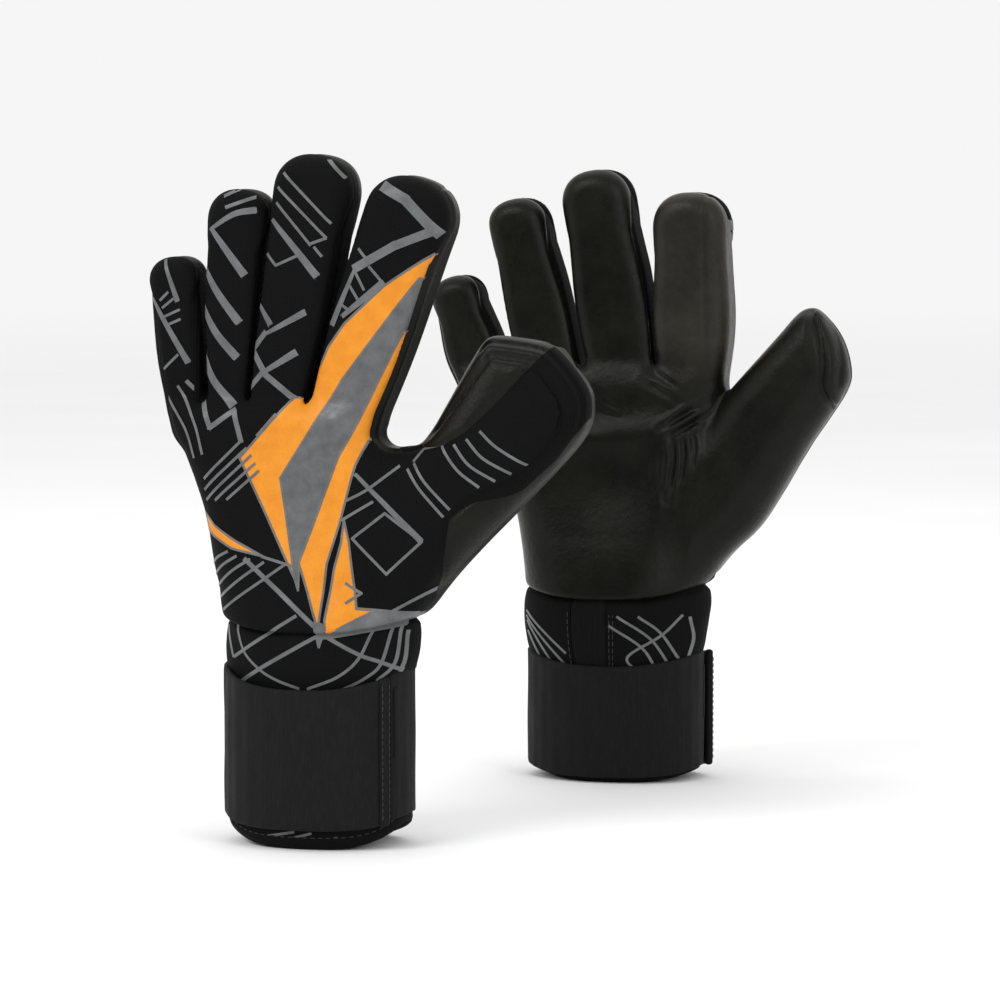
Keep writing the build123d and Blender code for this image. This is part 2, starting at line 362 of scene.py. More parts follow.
def build_body(glove):
    """The glove above its cuff: a distance field, its mesh and the fields that part its panels."""
    low = np.array([-84.0, -29.0, 72.0])
    high = np.array([115.0, 33.0, 272.0])
    x = np.arange(low[0], high[0], VOXEL, dtype=np.float32)[:, None, None]
    y = np.arange(low[1], high[1], VOXEL, dtype=np.float32)[None, :, None]
    z = np.arange(low[2], high[2], VOXEL, dtype=np.float32)[None, None, :]

    hand_depth = np.interp(z, [72, 84, 92, 104, 130, 166, 185], [27.0, 26.4, 25.0, 22.6, 18.8, 15.2, 13.0])
    hand_depth = hand_depth.astype(np.float32)
    flat = outline_distance(x[:, :, 0], z[:, 0, :], rounded(glove["hand"]))[:, None, :]
    hand = pillow(flat, y, hand_depth, hand_depth * 0.92)
    hand = smooth_max(hand, z - web_height(y), 5.0)

    along, across = thumb_frame(x, z)
    thumb_y = thumb_middle(along)
    thumb_depth = np.interp(along, [-40, 0, 40, 80], [19.5, 18.5, 16.8, 15.0]).astype(np.float32)
    flat = outline_distance(x[:, :, 0], z[:, 0, :], rounded(glove["thumb"]))[:, None, :]
    thumb = pillow(flat, y - thumb_y, thumb_depth, thumb_depth * 0.88)
    ridges = bell((flat + 2.4) / 0.9) + bell((flat + 5.0) / 0.9)
    thumb = thumb + ridges * smoothstep(54, 60, along) * smoothstep(4, 0, y - thumb_y) * 1.2
    field = smooth_min(hand, thumb, 9.0)

    fingers = finger_field(glove, FINGERS[0], x, y, z)
    for finger in FINGERS[1:]:
        fingers = np.minimum(fingers, finger_field(glove, finger, x, y, z))
    field = smooth_min(field, fingers, 5.0)
    for gap in range(3):
        wall = 0.75 - np.abs(x - separation_x(glove, gap, z))
        slot = smooth_min(wall, (z - web_height(y) - 1.0) * 0.6, 2.0)
        field = smooth_max(field, slot, 1.2)

    # panels are sewn together in narrow valleys
    back_edge, palm_edge = hand_seams(x, z)
    upper, lower = thumb_latex_edges(glove, along)
    fabric = np.maximum(y - palm_edge, np.maximum((upper - across) * 0.8, (across - lower) * 0.8))
    groove = bell(fabric / 1.2) * 1.1
    side_strip = np.where(x < 0, bell((y - back_edge) / 1.3) * 0.7, 0) * smoothstep(-25, -32, x)
    on_fingers = smoothstep(CUT_Z - 2, CUT_Z + 8, z)
    on_hand = np.maximum(1 - on_fingers, smoothstep(-3, 1, thumb_cell(glove, x, z)))
    field = field + (groove + side_strip) * on_hand
    for finger in FINGERS:
        s, u, length = finger_frame(glove, finger, x, z)
        back, palm = finger_seams(finger, s, u, length)
        middle = finger_middle(s)
        own = on_fingers * finger_cell(glove, finger, x, z)
        marks = bell((y - middle - back) / 1.3) + bell((y - middle - palm) / 1.3)
        strip = smoothstep(back - 0.5, back + 1.5, y - middle) * (1 - smoothstep(palm - 1.5, palm + 0.5, y - middle))
        if finger == "index":
            seam = 0.45 * bell((u - 7.6) / 0.7) * (y > 0) * smoothstep(8, 24, s)
            marks = marks + seam / 0.6
        field = field + (own * (0.8 * marks + 0.5 * strip)).astype(np.float32)

    palm_side = smoothstep(5.0, 11.0, y)
    back_side = 1 - smoothstep(-8.0, -2.0, y)
    px, pz = x[:, :, 0], z[:, 0, :]
    field = field + (palm_relief(glove, px, pz)[:, None, :] * palm_side).astype(np.float32)
    field = field + (back_relief(px, pz)[:, None, :] * back_side).astype(np.float32)

    cavity = smooth_max(field + SHELL, z - 150.0, 14.0)
    field = smooth_max(field, seam_heights(glove, x) - z, 2.4)
    field = smooth_max(field, -cavity, 0.8).astype(np.float32)

    band = 3 * VOXEL
    grid = openvdb.FloatGrid(band)
    grid.copyFromArray(np.clip(field, -band, band))
    points, quads = grid.convertToQuads(0.0)
    verts = low + points.astype(float) * VOXEL
    slopes = np.stack(np.gradient(field), axis=-1)
    normals = unit(sampled(slopes, points))
    tris = np.vstack([quads[:, [0, 1, 2]], quads[:, [0, 2, 3]]]).astype(np.int64)
    inner = sampled(cavity[..., None], points)[:, 0]
    mesh = {"verts": verts, "normals": normals, "tris": tris, "inner": inner}
    return mesh, lambda spots: sampled(field[..., None], (spots - low) / VOXEL)[:, 0]


def sampled(array, points):
    """Values of a grid at points given in grid steps, by the weights of the eight cells around."""
    cell = np.clip(np.floor(points).astype(int), 0, np.array(array.shape[:3]) - 2)
    part = points - cell
    out = 0
    for corner in range(8):
        step = np.array([corner & 1, corner >> 1 & 1, corner >> 2 & 1])
        weight = np.prod(np.where(step, part, 1 - part), axis=1)
        i, j, k = (cell + step).T
        out = out + array[i, j, k] * weight[:, None]
    return out


def finger_cell(glove, finger, x, z):
    """True on the side of every parting line where this finger is."""
    place = FINGERS.index(finger)
    inside = np.ones(np.broadcast(x, z).shape, bool)
    if place > 0:
        inside &= x > separation_x(glove, place - 1, z)
    if place < 3:
        inside &= x <= separation_x(glove, place, z)
    return inside


# ---- parting a mesh along a field -------------------------------------------------------------------
def cut(mesh, field, near=0.03):
    """Parts the triangles where the field changes sign, so that each lies on one side."""
    f = np.where(np.abs(field) < near, np.where(field < 0, -near, near), field)
    tris, positive = mesh["tris"], f > 0
    count = positive[tris].sum(axis=1)
    mixed = (count == 1) | (count == 2)
    if not mixed.any():
        return mesh
    kept, hit = tris[~mixed], tris[mixed]
    lone_is_positive = count[mixed] == 1
    lone = np.argmax(positive[hit] == lone_is_positive[:, None], axis=1)
    rows = np.arange(len(hit))
    a, b, c = hit[rows, lone], hit[rows, (lone + 1) % 3], hit[rows, (lone + 2) % 3]
    edges = np.sort(np.stack([np.stack([a, b], 1), np.stack([a, c], 1)], 1).reshape(-1, 2), axis=1)
    unique, back = np.unique(edges, axis=0, return_inverse=True)
    t = (f[unique[:, 0]] / (f[unique[:, 0]] - f[unique[:, 1]]))[:, None]
    made = {}
    first = len(mesh["verts"])
    for key in ("verts", "normals"):
        start, end = mesh[key][unique[:, 0]], mesh[key][unique[:, 1]]
        made[key] = np.vstack([mesh[key], start + (end - start) * t])
    made["normals"][first:] = unit(made["normals"][first:])
    start, end = mesh["inner"][unique[:, 0]], mesh["inner"][unique[:, 1]]
    made["inner"] = np.concatenate([mesh["inner"], start + (end - start) * t[:, 0]])
    back = back.reshape(-1, 2) + first
    p, q = back[:, 0], back[:, 1]
    made["tris"] = np.vstack([kept, np.stack([a, p, q], 1), np.stack([p, b, c], 1), np.stack([p, c, q], 1)])
    return made


def chosen(mesh, keep):
    """The triangles that are kept, with only the vertices they use."""
    tris = mesh["tris"][keep]
    used, back = np.unique(tris, return_inverse=True)
    return {"verts": mesh["verts"][used], "normals": mesh["normals"][used], "inner": mesh["inner"][used],
            "tris": back.reshape(-1, 3)}


def middles(mesh):
    return mesh["verts"][mesh["tris"]].mean(axis=1)


def parted(mesh, field):
    """The two sides of a field, the positive one first. The field is a function of x, y and z."""
    mesh = cut(mesh, field(*mesh["verts"].T))
    side = field(*middles(mesh).T) > 0
    return chosen(mesh, side), chosen(mesh, ~side)


# ---- making objects --------------------------------------------------------------------------------
def placed(glove, points):
    """Glove millimetres to the pair's frame in metres."""
    p = np.array(points, float).reshape(-1, 3).copy()
    if glove["mirrored"]:
        p[:, 1] *= -1
    p[:, :2] += glove["stand"]
    return p * MM


def made(name, glove, verts, faces, material, normals=None):
    """A mesh object in the pair's frame, smooth shaded, with the given normals if there are any."""
    data = bpy.data.meshes.new(name)
    faces = np.asarray(faces)
    if glove["mirrored"]:
        faces = faces[:, ::-1]
    data.from_pydata(placed(glove, verts).tolist(), [], faces.tolist())
    data.polygons.foreach_set("use_smooth", np.ones(len(data.polygons), bool))
    if normals is not None:
        turned = np.array(normals, float) * ([1, -1, 1] if glove["mirrored"] else [1, 1, 1])
        data.normals_split_custom_set_from_vertices(turned.tolist())
    data.materials.append(material)
    data.update()
    thing = bpy.data.objects.new(name, data)
    bpy.context.scene.collection.objects.link(thing)
    return thing


def bend_line(glove, digit):
    """Start and end of a digit's bend in the pair's frame."""
    if digit == "thumb":
        root = glove["thumb_root"][0]
        ends = [thumb_spot(root), thumb_spot(root + THUMB_BEND)]
    else:
        ends = [(glove["fingers"][digit][0], z) for z in BEND]
    return [tuple(p) for p in placed(glove, [(x, 0, z) for x, z in ends])]


def follow(thing, side, glove, part):
    """Ties a piece to the hand's or the strap flap's body; a digit's piece is only fixed in the pair's frame, its
    bend line worked out but not used.
    """
    if part in DIGITS:
        start, end = bend_line(glove, part)
        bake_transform(thing)
    else:
        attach(thing, f"{side}_{part}")
    return thing


def sheet(points, normals=None):
    """A mesh over a grid of points, rows by columns."""
    rows, columns = points.shape[:2]
    i = np.arange(rows * columns).reshape(rows, columns)
    a, b, c, d = (q.ravel() for q in (i[:-1, :-1], i[:-1, 1:], i[1:, 1:], i[1:, :-1]))
    tris = np.vstack([np.stack([a, b, c], 1), np.stack([a, c, d], 1)])
    n = np.zeros((rows * columns, 3)) if normals is None else normals
    return {"verts": points.reshape(-1, 3), "normals": n, "inner": np.zeros(rows * columns), "tris": tris}


def joined(*meshes):
    """Several meshes as one."""
    out = {key: np.concatenate([m[key] for m in meshes]) for key in ("verts", "normals", "inner")}
    starts = np.cumsum([0] + [len(m["verts"]) for m in meshes[:-1]])
    out["tris"] = np.vstack([m["tris"] + first for m, first in zip(meshes, starts)])
    return out


def remember(thing, glove=None):
    """Keeps where each point is at rest, and round the cuff, so a fabric's grain stays on it when it bends."""
    data = thing.data
    rest = np.zeros(len(data.vertices) * 3, np.float32)
    data.vertices.foreach_get("co", rest)
    kept = {"rest": rest}
    if glove is not None:
        spots = rest.reshape(-1, 3) / MM
        x, y = spots[:, 0] - glove["stand"][0], spots[:, 1] - glove["stand"][1]
        wound = np.stack([np.arctan2(y, x) * CUFF_RADIUS, spots[:, 2], np.hypot(x, y)], axis=1)
        kept["strap"] = wound.astype(np.float32).ravel()
    for name, values in kept.items():
        data.attributes.new(name, "FLOAT_VECTOR", "POINT").data.foreach_set("vector", values)
    return thing


# ---- materials -------------------------------------------------------------------------------------
class Nodes:
    """A short way to write a material's nodes."""

    def __init__(self, name):
        self.material = bpy.data.materials.new(name)
        self.material.use_nodes = True
        self.tree = self.material.node_tree
        self.shader = self.tree.nodes["Principled BSDF"]

    def add(self, kind, settings=(), **inputs):
        node = self.tree.nodes.new(kind)
        for key, value in dict(settings).items():
            setattr(node, key, value)
        for key, value in inputs.items():
            self.set(node, key.replace("_", " "), value)
        return node

    def set(self, node, socket, value):
        target = node.inputs[int(socket)] if socket.isdigit() else node.inputs[socket]
        if isinstance(value, bpy.types.NodeSocket):
            self.tree.links.new(value, target)
        else:
            target.default_value = value

    def rest(self):
        """Rest position in millimetres."""
        where = self.add("ShaderNodeAttribute", {"attribute_name": "rest"}).outputs["Vector"]
        return self.add("ShaderNodeMapping", Vector=where, Scale=(1000, 1000, 1000)).outputs[0]

    def noise(self, where, scale, detail=3.0, rough=0.6, distortion=0.0):
        node = self.add("ShaderNodeTexNoise", Vector=where, Scale=scale, Detail=detail, Roughness=rough,
                        Distortion=distortion)
        return node.outputs["Fac"]

    def cells(self, where, scale):
        return self.add("ShaderNodeTexVoronoi", Vector=where, Scale=scale).outputs["Distance"]

    def waves(self, where, scale, direction, distortion):
        node = self.add("ShaderNodeTexWave", {"bands_direction": direction}, Vector=where, Scale=scale,
                        Distortion=distortion)
        return node.outputs["Fac"]

    def math(self, operation, a, b):
        return self.add("ShaderNodeMath", {"operation": operation}, **{"0": a, "1": b}).outputs[0]

    def ramp(self, value, low, high, bottom=0.0, top=1.0):
        node = self.add("ShaderNodeMapRange", Value=value)
        for key, number in (("From Min", low), ("From Max", high), ("To Min", bottom), ("To Max", top)):
            node.inputs[key].default_value = number
        return node.outputs[0]

    def mix(self, factor, a, b):
        node = self.add("ShaderNodeMix", {"data_type": "RGBA"})
        self.set(node, "0", factor)
        self.set(node, "6", a)
        self.set(node, "7", b)
        return node.outputs[2]

    def bump(self, height, strength, distance=0.0002, over=None):
        node = self.add("ShaderNodeBump", Height=height, Strength=strength, Distance=distance)
        if over is not None:
            self.set(node, "Normal", over)
        return node.outputs[0]

    def finish(self, **sockets):
        for key, value in sockets.items():
            self.set(self.shader, key.replace("_", " "), value)
        return self.material


def rgb(r, g, b):
    """A colour from its everyday 0 to 255 values."""
    def linear(v):
        v /= 255
        return v / 12.92 if v <= 0.04045 else ((v + 0.055) / 1.055) ** 2.4
    return (linear(r), linear(g), linear(b), 1)


def latex_material(name, dark, light, worn=None):
    n = Nodes(name)
    where = n.rest()
    if worn:
        height = n.add("ShaderNodeSeparateXYZ", Vector=where).outputs["Z"]
        height = n.math("ADD", height, n.ramp(n.noise(where, 0.1), 0.3, 0.7, -3.0, 3.0))
        high = n.ramp(height, 171.0, 186.0)
        dark, light = n.mix(high, dark, worn[0]), n.mix(high, light, worn[1])
    broad = n.ramp(n.noise(where, 0.045, 4.0), 0.35, 0.7)
    patch = n.ramp(n.noise(where, 0.3, 3.0), 0.3, 0.75)
    grain = n.noise(where, 2.6, 3.0, 0.7)
    pores = n.ramp(n.cells(where, 2.1), 0.05, 0.5)
    colour = n.mix(n.math("MULTIPLY", broad, 0.75), dark, light)
    colour = n.mix(n.math("MULTIPLY", patch, 0.22), colour, light)
    colour = n.mix(n.ramp(grain, 0.35, 0.7, 0.25, 0.0), colour, rgb(8, 8, 7))
    relief = n.bump(n.noise(where, 0.42, 3.0, 0.55), 0.35, 0.0006)
    relief = n.bump(grain, 0.5, 0.00018, relief)
    relief = n.bump(pores, 0.22, 0.0001, relief)
    rough = n.ramp(n.noise(where, 0.12, 3.0), 0.3, 0.7, 0.26, 0.38)
    return n.finish(Base_Color=colour, Roughness=rough, Normal=relief, Specular_IOR_Level=0.14,
                    Sheen_Weight=0.01, Sheen_Roughness=0.4, Sheen_Tint=rgb(190, 185, 170))


def knit_material(name, dark, light, cell=1.05, depth=0.0002, sheen=0.012):
    """A fine warp knit: small rounded stitches in staggered rows."""
    n = Nodes(name)
    where = n.rest()
    columns = n.waves(where, 0.42 / cell, "X", 0.4)
    rows = n.waves(where, 0.62 / cell, "Z", 0.6)
    diagonal = n.waves(where, 0.36 / cell, "DIAGONAL", 0.5)
    knit = n.math("ADD", n.math("MULTIPLY", columns, 0.45), n.math("MULTIPLY", rows, 0.35))
    knit = n.math("ADD", knit, n.math("MULTIPLY", diagonal, 0.2))
    fuzz = n.noise(where, 3.2, 2.0)
    broad = n.ramp(n.noise(where, 0.05, 3.0), 0.3, 0.72)
    colour = n.mix(n.ramp(knit, 0.2, 0.85), dark, light)
    colour = n.mix(n.math("MULTIPLY", broad, 0.3), colour, light)
    relief = n.bump(n.noise(where, 0.22, 2.0), 0.25, 0.0005)
    relief = n.bump(knit, 0.6, depth, relief)
    relief = n.bump(fuzz, 0.2, depth * 0.6, relief)
    return n.finish(Base_Color=colour, Roughness=n.ramp(fuzz, 0.3, 0.7, 0.66, 0.82), Normal=relief,
                    Specular_IOR_Level=0.07, Sheen_Weight=sheen, Sheen_Roughness=0.4,
                    Sheen_Tint=rgb(200, 200, 200))


def strap_material():
    """Woven elastic: fine upright ribs with short weft marks."""
    n = Nodes("strap_elastic")
    where = n.add("ShaderNodeAttribute", {"attribute_name": "strap"}).outputs["Vector"]
    ribs = n.waves(where, 0.55, "X", 0.8)
    weft = n.waves(where, 0.85, "Y", 1.5)
    streaks = n.noise(n.add("ShaderNodeMapping", Vector=where, Scale=(1.0, 0.18, 1.0)).outputs[0], 0.9, 4.0)
    fuzz = n.noise(where, 4.0, 2.0)
    weave = n.math("ADD", n.math("MULTIPLY", ribs, 0.6), n.math("MULTIPLY", weft, 0.4))
    colour = n.mix(n.ramp(weave, 0.15, 0.9), rgb(5, 5, 5), rgb(19, 19, 19))
    colour = n.mix(n.ramp(streaks, 0.45, 0.75, 0.0, 0.4), colour, rgb(29, 29, 29))
    relief = n.bump(n.noise(where, 0.12, 2.0), 0.2, 0.0006)
    relief = n.bump(weave, 0.75, 0.00022, relief)
    relief = n.bump(fuzz, 0.25, 0.0001, relief)
    return n.finish(Base_Color=colour, Roughness=n.ramp(fuzz, 0.3, 0.7, 0.55, 0.72), Normal=relief,
                    Specular_IOR_Level=0.14, Sheen_Weight=0.015, Sheen_Roughness=0.4, Sheen_Tint=rgb(200, 200, 200))


def tape_material(name, dark, light, scale, depth):
    """Hook or loop tape: a dense pile."""
    n = Nodes(name)
    where = n.rest()
    pile = n.cells(where, scale)
    curls = n.noise(where, 3.0, 4.0, 0.7, 1.5)
    colour = n.mix(n.ramp(n.math("ADD", pile, curls), 0.5, 1.2), dark, light)
    relief = n.bump(pile, 0.8, depth)
    relief = n.bump(curls, 0.6, depth * 0.6, relief)
    return n.finish(Base_Color=colour, Roughness=n.ramp(curls, 0.3, 0.7, 0.6, 0.8), Normal=relief,
                    Specular_IOR_Level=0.2, Sheen_Weight=0.05, Sheen_Roughness=0.5)


def print_material(name, dark, light, rough, swell=0.0004):
    """A printed film: faintly uneven, with the knit showing through."""
    n = Nodes(name)
    where = n.rest()
    broad = n.ramp(n.noise(where, 0.16, 3.0), 0.3, 0.7)
    grain = n.noise(where, 2.4, 3.0)
    knit = n.waves(where, 0.5, "DIAGONAL", 0.6)
    colour = n.mix(broad, dark, light)
    colour = n.mix(n.ramp(grain, 0.55, 0.8, 0.0, 0.35), colour, dark)
    relief = n.bump(n.noise(where, 0.16, 1.0), 0.6, swell)
    relief = n.bump(n.math("ADD", grain, knit), 0.25, 0.0001, relief)
    return n.finish(Base_Color=colour, Roughness=n.ramp(grain, 0.3, 0.7, rough - 0.05, rough + 0.08),
                    Normal=relief, Specular_IOR_Level=0.3)


def thread_material():
    n = Nodes("sewing_thread")
    where = n.rest()
    twist = n.waves(where, 1.6, "DIAGONAL", 1.0)
    colour = n.mix(n.ramp(twist, 0.2, 0.8), rgb(14, 14, 14), rgb(46, 46, 45))
    return n.finish(Base_Color=colour, Roughness=n.ramp(n.noise(where, 1.5), 0.3, 0.7, 0.4, 0.55),
                    Normal=n.bump(twist, 0.6, 0.0001), Specular_IOR_Level=0.5)


MATERIALS = {
    "latex": latex_material("glove_latex", rgb(4, 4, 2), rgb(21, 21, 13)),
    "latex_worn": latex_material("glove_latex_worn", rgb(4, 4, 2), rgb(21, 21, 13),
                                 worn=(rgb(30, 28, 24), rgb(53, 50, 43))),
    "back_fabric": knit_material("back_fabric", rgb(4, 4, 5), rgb(14, 14, 15)),
    "gusset_mesh": knit_material("gusset_fabric", rgb(4, 4, 4), rgb(12, 12, 13), 1.4, 0.0003),
    "lining": knit_material("lining_fabric", rgb(38, 38, 40), rgb(62, 62, 64), 1.2),
    "neoprene": knit_material("cuff_neoprene", rgb(4, 4, 5), rgb(14, 14, 15), 0.9, 0.00012),
    "elastic_rib": knit_material("elastic_insert", rgb(7, 7, 8), rgb(21, 21, 22), 0.8, 0.0003),
    "binding": knit_material("hem_binding", rgb(4, 4, 5), rgb(15, 15, 16), 0.7, 0.0002),
    "strap_elastic": strap_material(),
    "loop_tape": tape_material("loop_tape", rgb(15, 15, 16), rgb(38, 38, 40), 2.2, 0.0006),
    "hook_tape": tape_material("hook_tape", rgb(14, 14, 14), rgb(46, 46, 46), 1.1, 0.0004),
    "thread": thread_material(),
    "print_orange": print_material("print_orange", rgb(200, 120, 14), rgb(212, 134, 24), 0.5),
    "print_shiny": print_material("print_shiny", rgb(74, 75, 77), rgb(94, 95, 97), 0.24, 0.0008),
    "print_grey": print_material("print_grey", rgb(80, 81, 82), rgb(100, 101, 102), 0.36),
}


# ---- the padded body, parted into its panels -------------------------------------------------------
def thumb_cell(glove, x, z):
    """Positive in the thumb: beyond its root, and past the fold between it and the index finger."""
    along, across = thumb_frame(x, z)
    start, edge = glove["thumb_root"]
    return np.minimum(along - start, across - edge)


def back_field(glove, digit):
    """A field that is positive on the back fabric of the hand or of a digit."""
    def thumb(x, y, z):
        along, across = thumb_frame(x, z)
        upper, lower = thumb_latex_edges(glove, along)
        return np.minimum(-1.0 - (y - thumb_middle(along)), np.minimum(across - upper, lower - across))

    def finger(x, y, z):
        along, across, length = finger_frame(glove, digit, x, z)
        return finger_seams(digit, along, across, length)[0] + finger_middle(along) - y

    def hand(x, y, z):
        along, across = thumb_frame(x, z)
        upper, lower = thumb_latex_edges(glove, along)
        over = np.minimum(across - upper, lower - across)
        return np.minimum(hand_seams(x, z)[1] - y, over)
    return {"thumb": thumb, "hand": hand}.get(digit, finger)


def digit_panels(glove, digit, mesh):
    """A digit's outer mesh parted into its back, its palm latex and its gussets."""
    def thumb_strip(x, y, z):
        along, across = thumb_frame(x, z)
        lower = thumb_latex_edges(glove, along)[1]
        wide = 2.7 * smoothstep(6, 26, along)
        return np.minimum(wide - np.abs(across - lower - wide), -1.0 - y + thumb_middle(along))

    def finger_strip(x, y, z):
        along, across, length = finger_frame(glove, digit, x, z)
        return finger_seams(digit, along, across, length)[1] + finger_middle(along) - y

    back, rest = parted(mesh, back_field(glove, digit))
    gussets, latex = parted(rest, thumb_strip if digit == "thumb" else finger_strip)
    return {"back": back, "gussets": gussets, "latex": latex}


def wall(field_at, line, facing):
    """Closes the side of a digit where it was parted from its neighbour, along a line in X and Z."""
    line = np.array(line, float)
    y = np.arange(-26, 30, WALL_STEP)
    points = np.empty((len(line), len(y), 3))
    points[..., 0], points[..., 1], points[..., 2] = line[:, None, 0], y[None, :], line[:, None, 1]
    mesh = sheet(points, np.tile([facing, 0.0, 0.0], (len(line) * len(y), 1)))
    if facing < 0:
        mesh["tris"] = mesh["tris"][:, ::-1]
    mesh = cut(mesh, field_at(mesh["verts"]), 0.01)
    return chosen(mesh, field_at(middles(mesh)) < 0)


def digit_walls(glove, digit, field_at):
    """The hidden walls of a digit: they show only where it bends away from its neighbour."""
    if digit == "thumb":
        start, edge = glove["thumb_root"]
        along = np.arange(start, start + 30, WALL_STEP)
        return [wall(field_at, np.stack(thumb_spot(along, edge), 1), -1.0)]
    place = FINGERS.index(digit)
    z = np.arange(CUT_Z, 196, WALL_STEP)
    return [wall(field_at, np.stack([separation_x(glove, gap, z), z], 1), facing)
            for gap, facing in ((place - 1, -1.0), (place, 1.0)) if 0 <= gap < 3]


def split_digits(glove, mesh):
    """A mesh over the whole glove parted into the hand's share and each digit's."""
    shares = {}
    shares["thumb"], rest = parted(mesh, lambda x, y, z: thumb_cell(glove, x, z))
    fingers, shares["hand"] = parted(rest, lambda x, y, z: z - CUT_Z)
    for gap, finger in enumerate(FINGERS[:3]):
        shares[finger], fingers = parted(fingers, lambda x, y, z, g=gap: separation_x(glove, g, z) - x)
    shares["index"] = fingers
    return shares


def build_glove(side):
    glove = GLOVES[side]
    body, field_at = build_body(glove)
    body = cut(body, body["inner"] - LINING_DEPTH)
    outside = body["inner"][body["tris"]].mean(axis=1) > LINING_DEPTH
    lining, skin = chosen(body, ~outside), chosen(body, outside)

    digits = split_digits(glove, skin)
    hand = digits.pop("hand")

    slots = {"latex": "latex", "back": "back_fabric", "gussets": "gusset_mesh"}
    backs = {}
    for digit, mesh in digits.items():
        for panel, part in digit_panels(glove, digit, mesh).items():
            if panel == "back":
                backs[digit] = part
            if panel == "gussets":
                part = joined(part, *digit_walls(glove, digit, field_at))
            material = MATERIALS[slots[panel]]
            if digit == "index" and panel == "latex" and side == "right":
                material = MATERIALS["latex_worn"]
            thing = made(f"{side}_{digit}_{panel}_skin", glove, part["verts"], part["tris"], material,
                         part["normals"])
            follow(remember(thing), side, glove, digit)
            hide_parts(f"{side}_{digit}_{panel}")
    back, palm = parted(hand, back_field(glove, "hand"))
    for name, part, slot, nodes in (("back", back, "back_fabric", ("back_panel", "back_foam")),
                                    ("palm", palm, "latex", ("palm_latex",)),
                                    ("lining", lining, "lining", ("palm_lining",))):
        backs.setdefault("hand", part)
        thing = made(f"{side}_hand_{name}_skin", glove, part["verts"], part["tris"], MATERIALS[slot],
                     part["normals"])
        follow(remember(thing), side, glove, "hand")
        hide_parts(*(f"{side}_{node}" for node in nodes))
    return skin, backs


# ---- cuff and strap --------------------------------------------------------------------------------
WELD = 0.00002  # in metres: vertices nearer than this are one
STRIP_STEP = 0.8  # mesh size of cuff and strap
STRAP_THICK = 2.4
FLAP_OUT = 3.0  # inside of the flap, out from the cuff
INSERT = (86.7, 110.0)  # bearings of the elastic insert, on the palm side


def cuff_point(glove, bearing, z, out=0.0, plain=False):
    """A point on the cuff, or under the strap if plain. Bearings run from the thumb side by way of the palm."""
    heights, widths = np.array(glove["cuff"]).T
    half_width, half_depth = glove["oval"]
    a = half_width if plain else smooth_interp(z, heights, widths)
    turn = np.radians(bearing)
    cos, sin = np.cos(turn), np.sin(turn)
    b = half_depth + 0.55 * (a - half_width)
    if not plain:
        a = a + glove["cuff_flare"] * smoothstep(62, 84, z) * np.clip(cos, 0, 1)
    x = (a + out) * cos + glove["cuff_shift"]
    return np.stack(np.broadcast_arrays(x, (b + out) * sin, z), axis=-1)


def turns_between(first, last, step):
    """Bearings about a step apart on the cuff."""
    return np.linspace(first, last, max(6, int(math.radians(last - first) * CUFF_RADIUS / step)))


def tube(points):
    """A mesh over rows of points, each row a closed loop."""
    return sheet(np.concatenate([points, points[:, :1]], axis=1))


def hem_height(glove, bearing):
    """The cuff's lower edge rises at both sides."""
    cos = np.cos(np.radians(bearing))
    thumb_side, little_side = glove["hem_lift"]
    return np.where(cos > 0, thumb_side, little_side) * np.abs(cos) ** 4.5


def strap_edges(glove, bearing):
    """Lower and upper edge of the strap."""
    cos = np.cos(np.radians(bearing))
    low, low_rise, high, high_rise = glove["strap"]
    return low + low_rise * np.abs(cos) ** 4, high + high_rise * np.abs(cos) ** 2.5


def band_loop(thick, across_steps):
    """A strip's cross section: place across from 0 to 1, shift at its edge, height from 0 to 1."""
    r = thick / 2
    edge = [math.radians(turn) for turn in np.linspace(-90, 90, 9)[1:-1]]
    loop = [(v, 0, 1) for v in np.linspace(0, 1, across_steps)]
    loop += [(1, r * math.cos(turn), 0.5 + 0.5 * math.sin(turn)) for turn in edge[::-1]]
    loop += [(v, 0, 0) for v in np.linspace(1, 0, across_steps)]
    loop += [(0, -r * math.cos(turn), 0.5 + 0.5 * math.sin(turn)) for turn in edge]
    return np.array(loop).T


def strip(glove, bearings, edges, inner, outer, wave=0.0, sink=0.0):
    """A strip round the cuff with rounded edges and ends, and a slight wave in its outer face."""
    first, last = bearings
    turns = turns_between(first, last, STRIP_STEP)
    rim = 1.1 / math.radians(1) / CUFF_RADIUS
    extra = [first + rim * k for k in (0.0, 0.12, 0.4, 0.8)] + [last - rim * k for k in (0.8, 0.4, 0.12, 0.0)]
    turns = np.array(sorted(list(turns[(turns > first + rim) & (turns < last - rim)]) + extra))
    distance = np.minimum(turns - first, last - turns) / rim
    fullness = np.sqrt(1 - (1 - np.clip(distance, 0, 1)) ** 2)
    low, high = edges(turns)
    steps = max(4, int(abs(float(np.mean(high - low))) / STRIP_STEP))
    across, shift, height = band_loop(outer - inner, steps)
    z = low[:, None] + (high - low)[:, None] * across + shift * 0.8 * fullness[:, None]
    out = inner + (outer - inner) * (0.5 + (height - 0.5) * fullness[:, None])
    ripple = np.sin(turns * 0.21)[:, None] * np.sin(z * 0.16 + 1) + 0.6 * np.sin(turns * 0.55 + 2)[:, None]
    out = out + wave * ripple * height - sink * (1 - smoothstep(first, first + 62, turns))[:, None]
    mesh = tube(cuff_point(glove, turns[:, None], z, out, True))
    mesh["tris"] = mesh["tris"][:, ::-1]
    return mesh


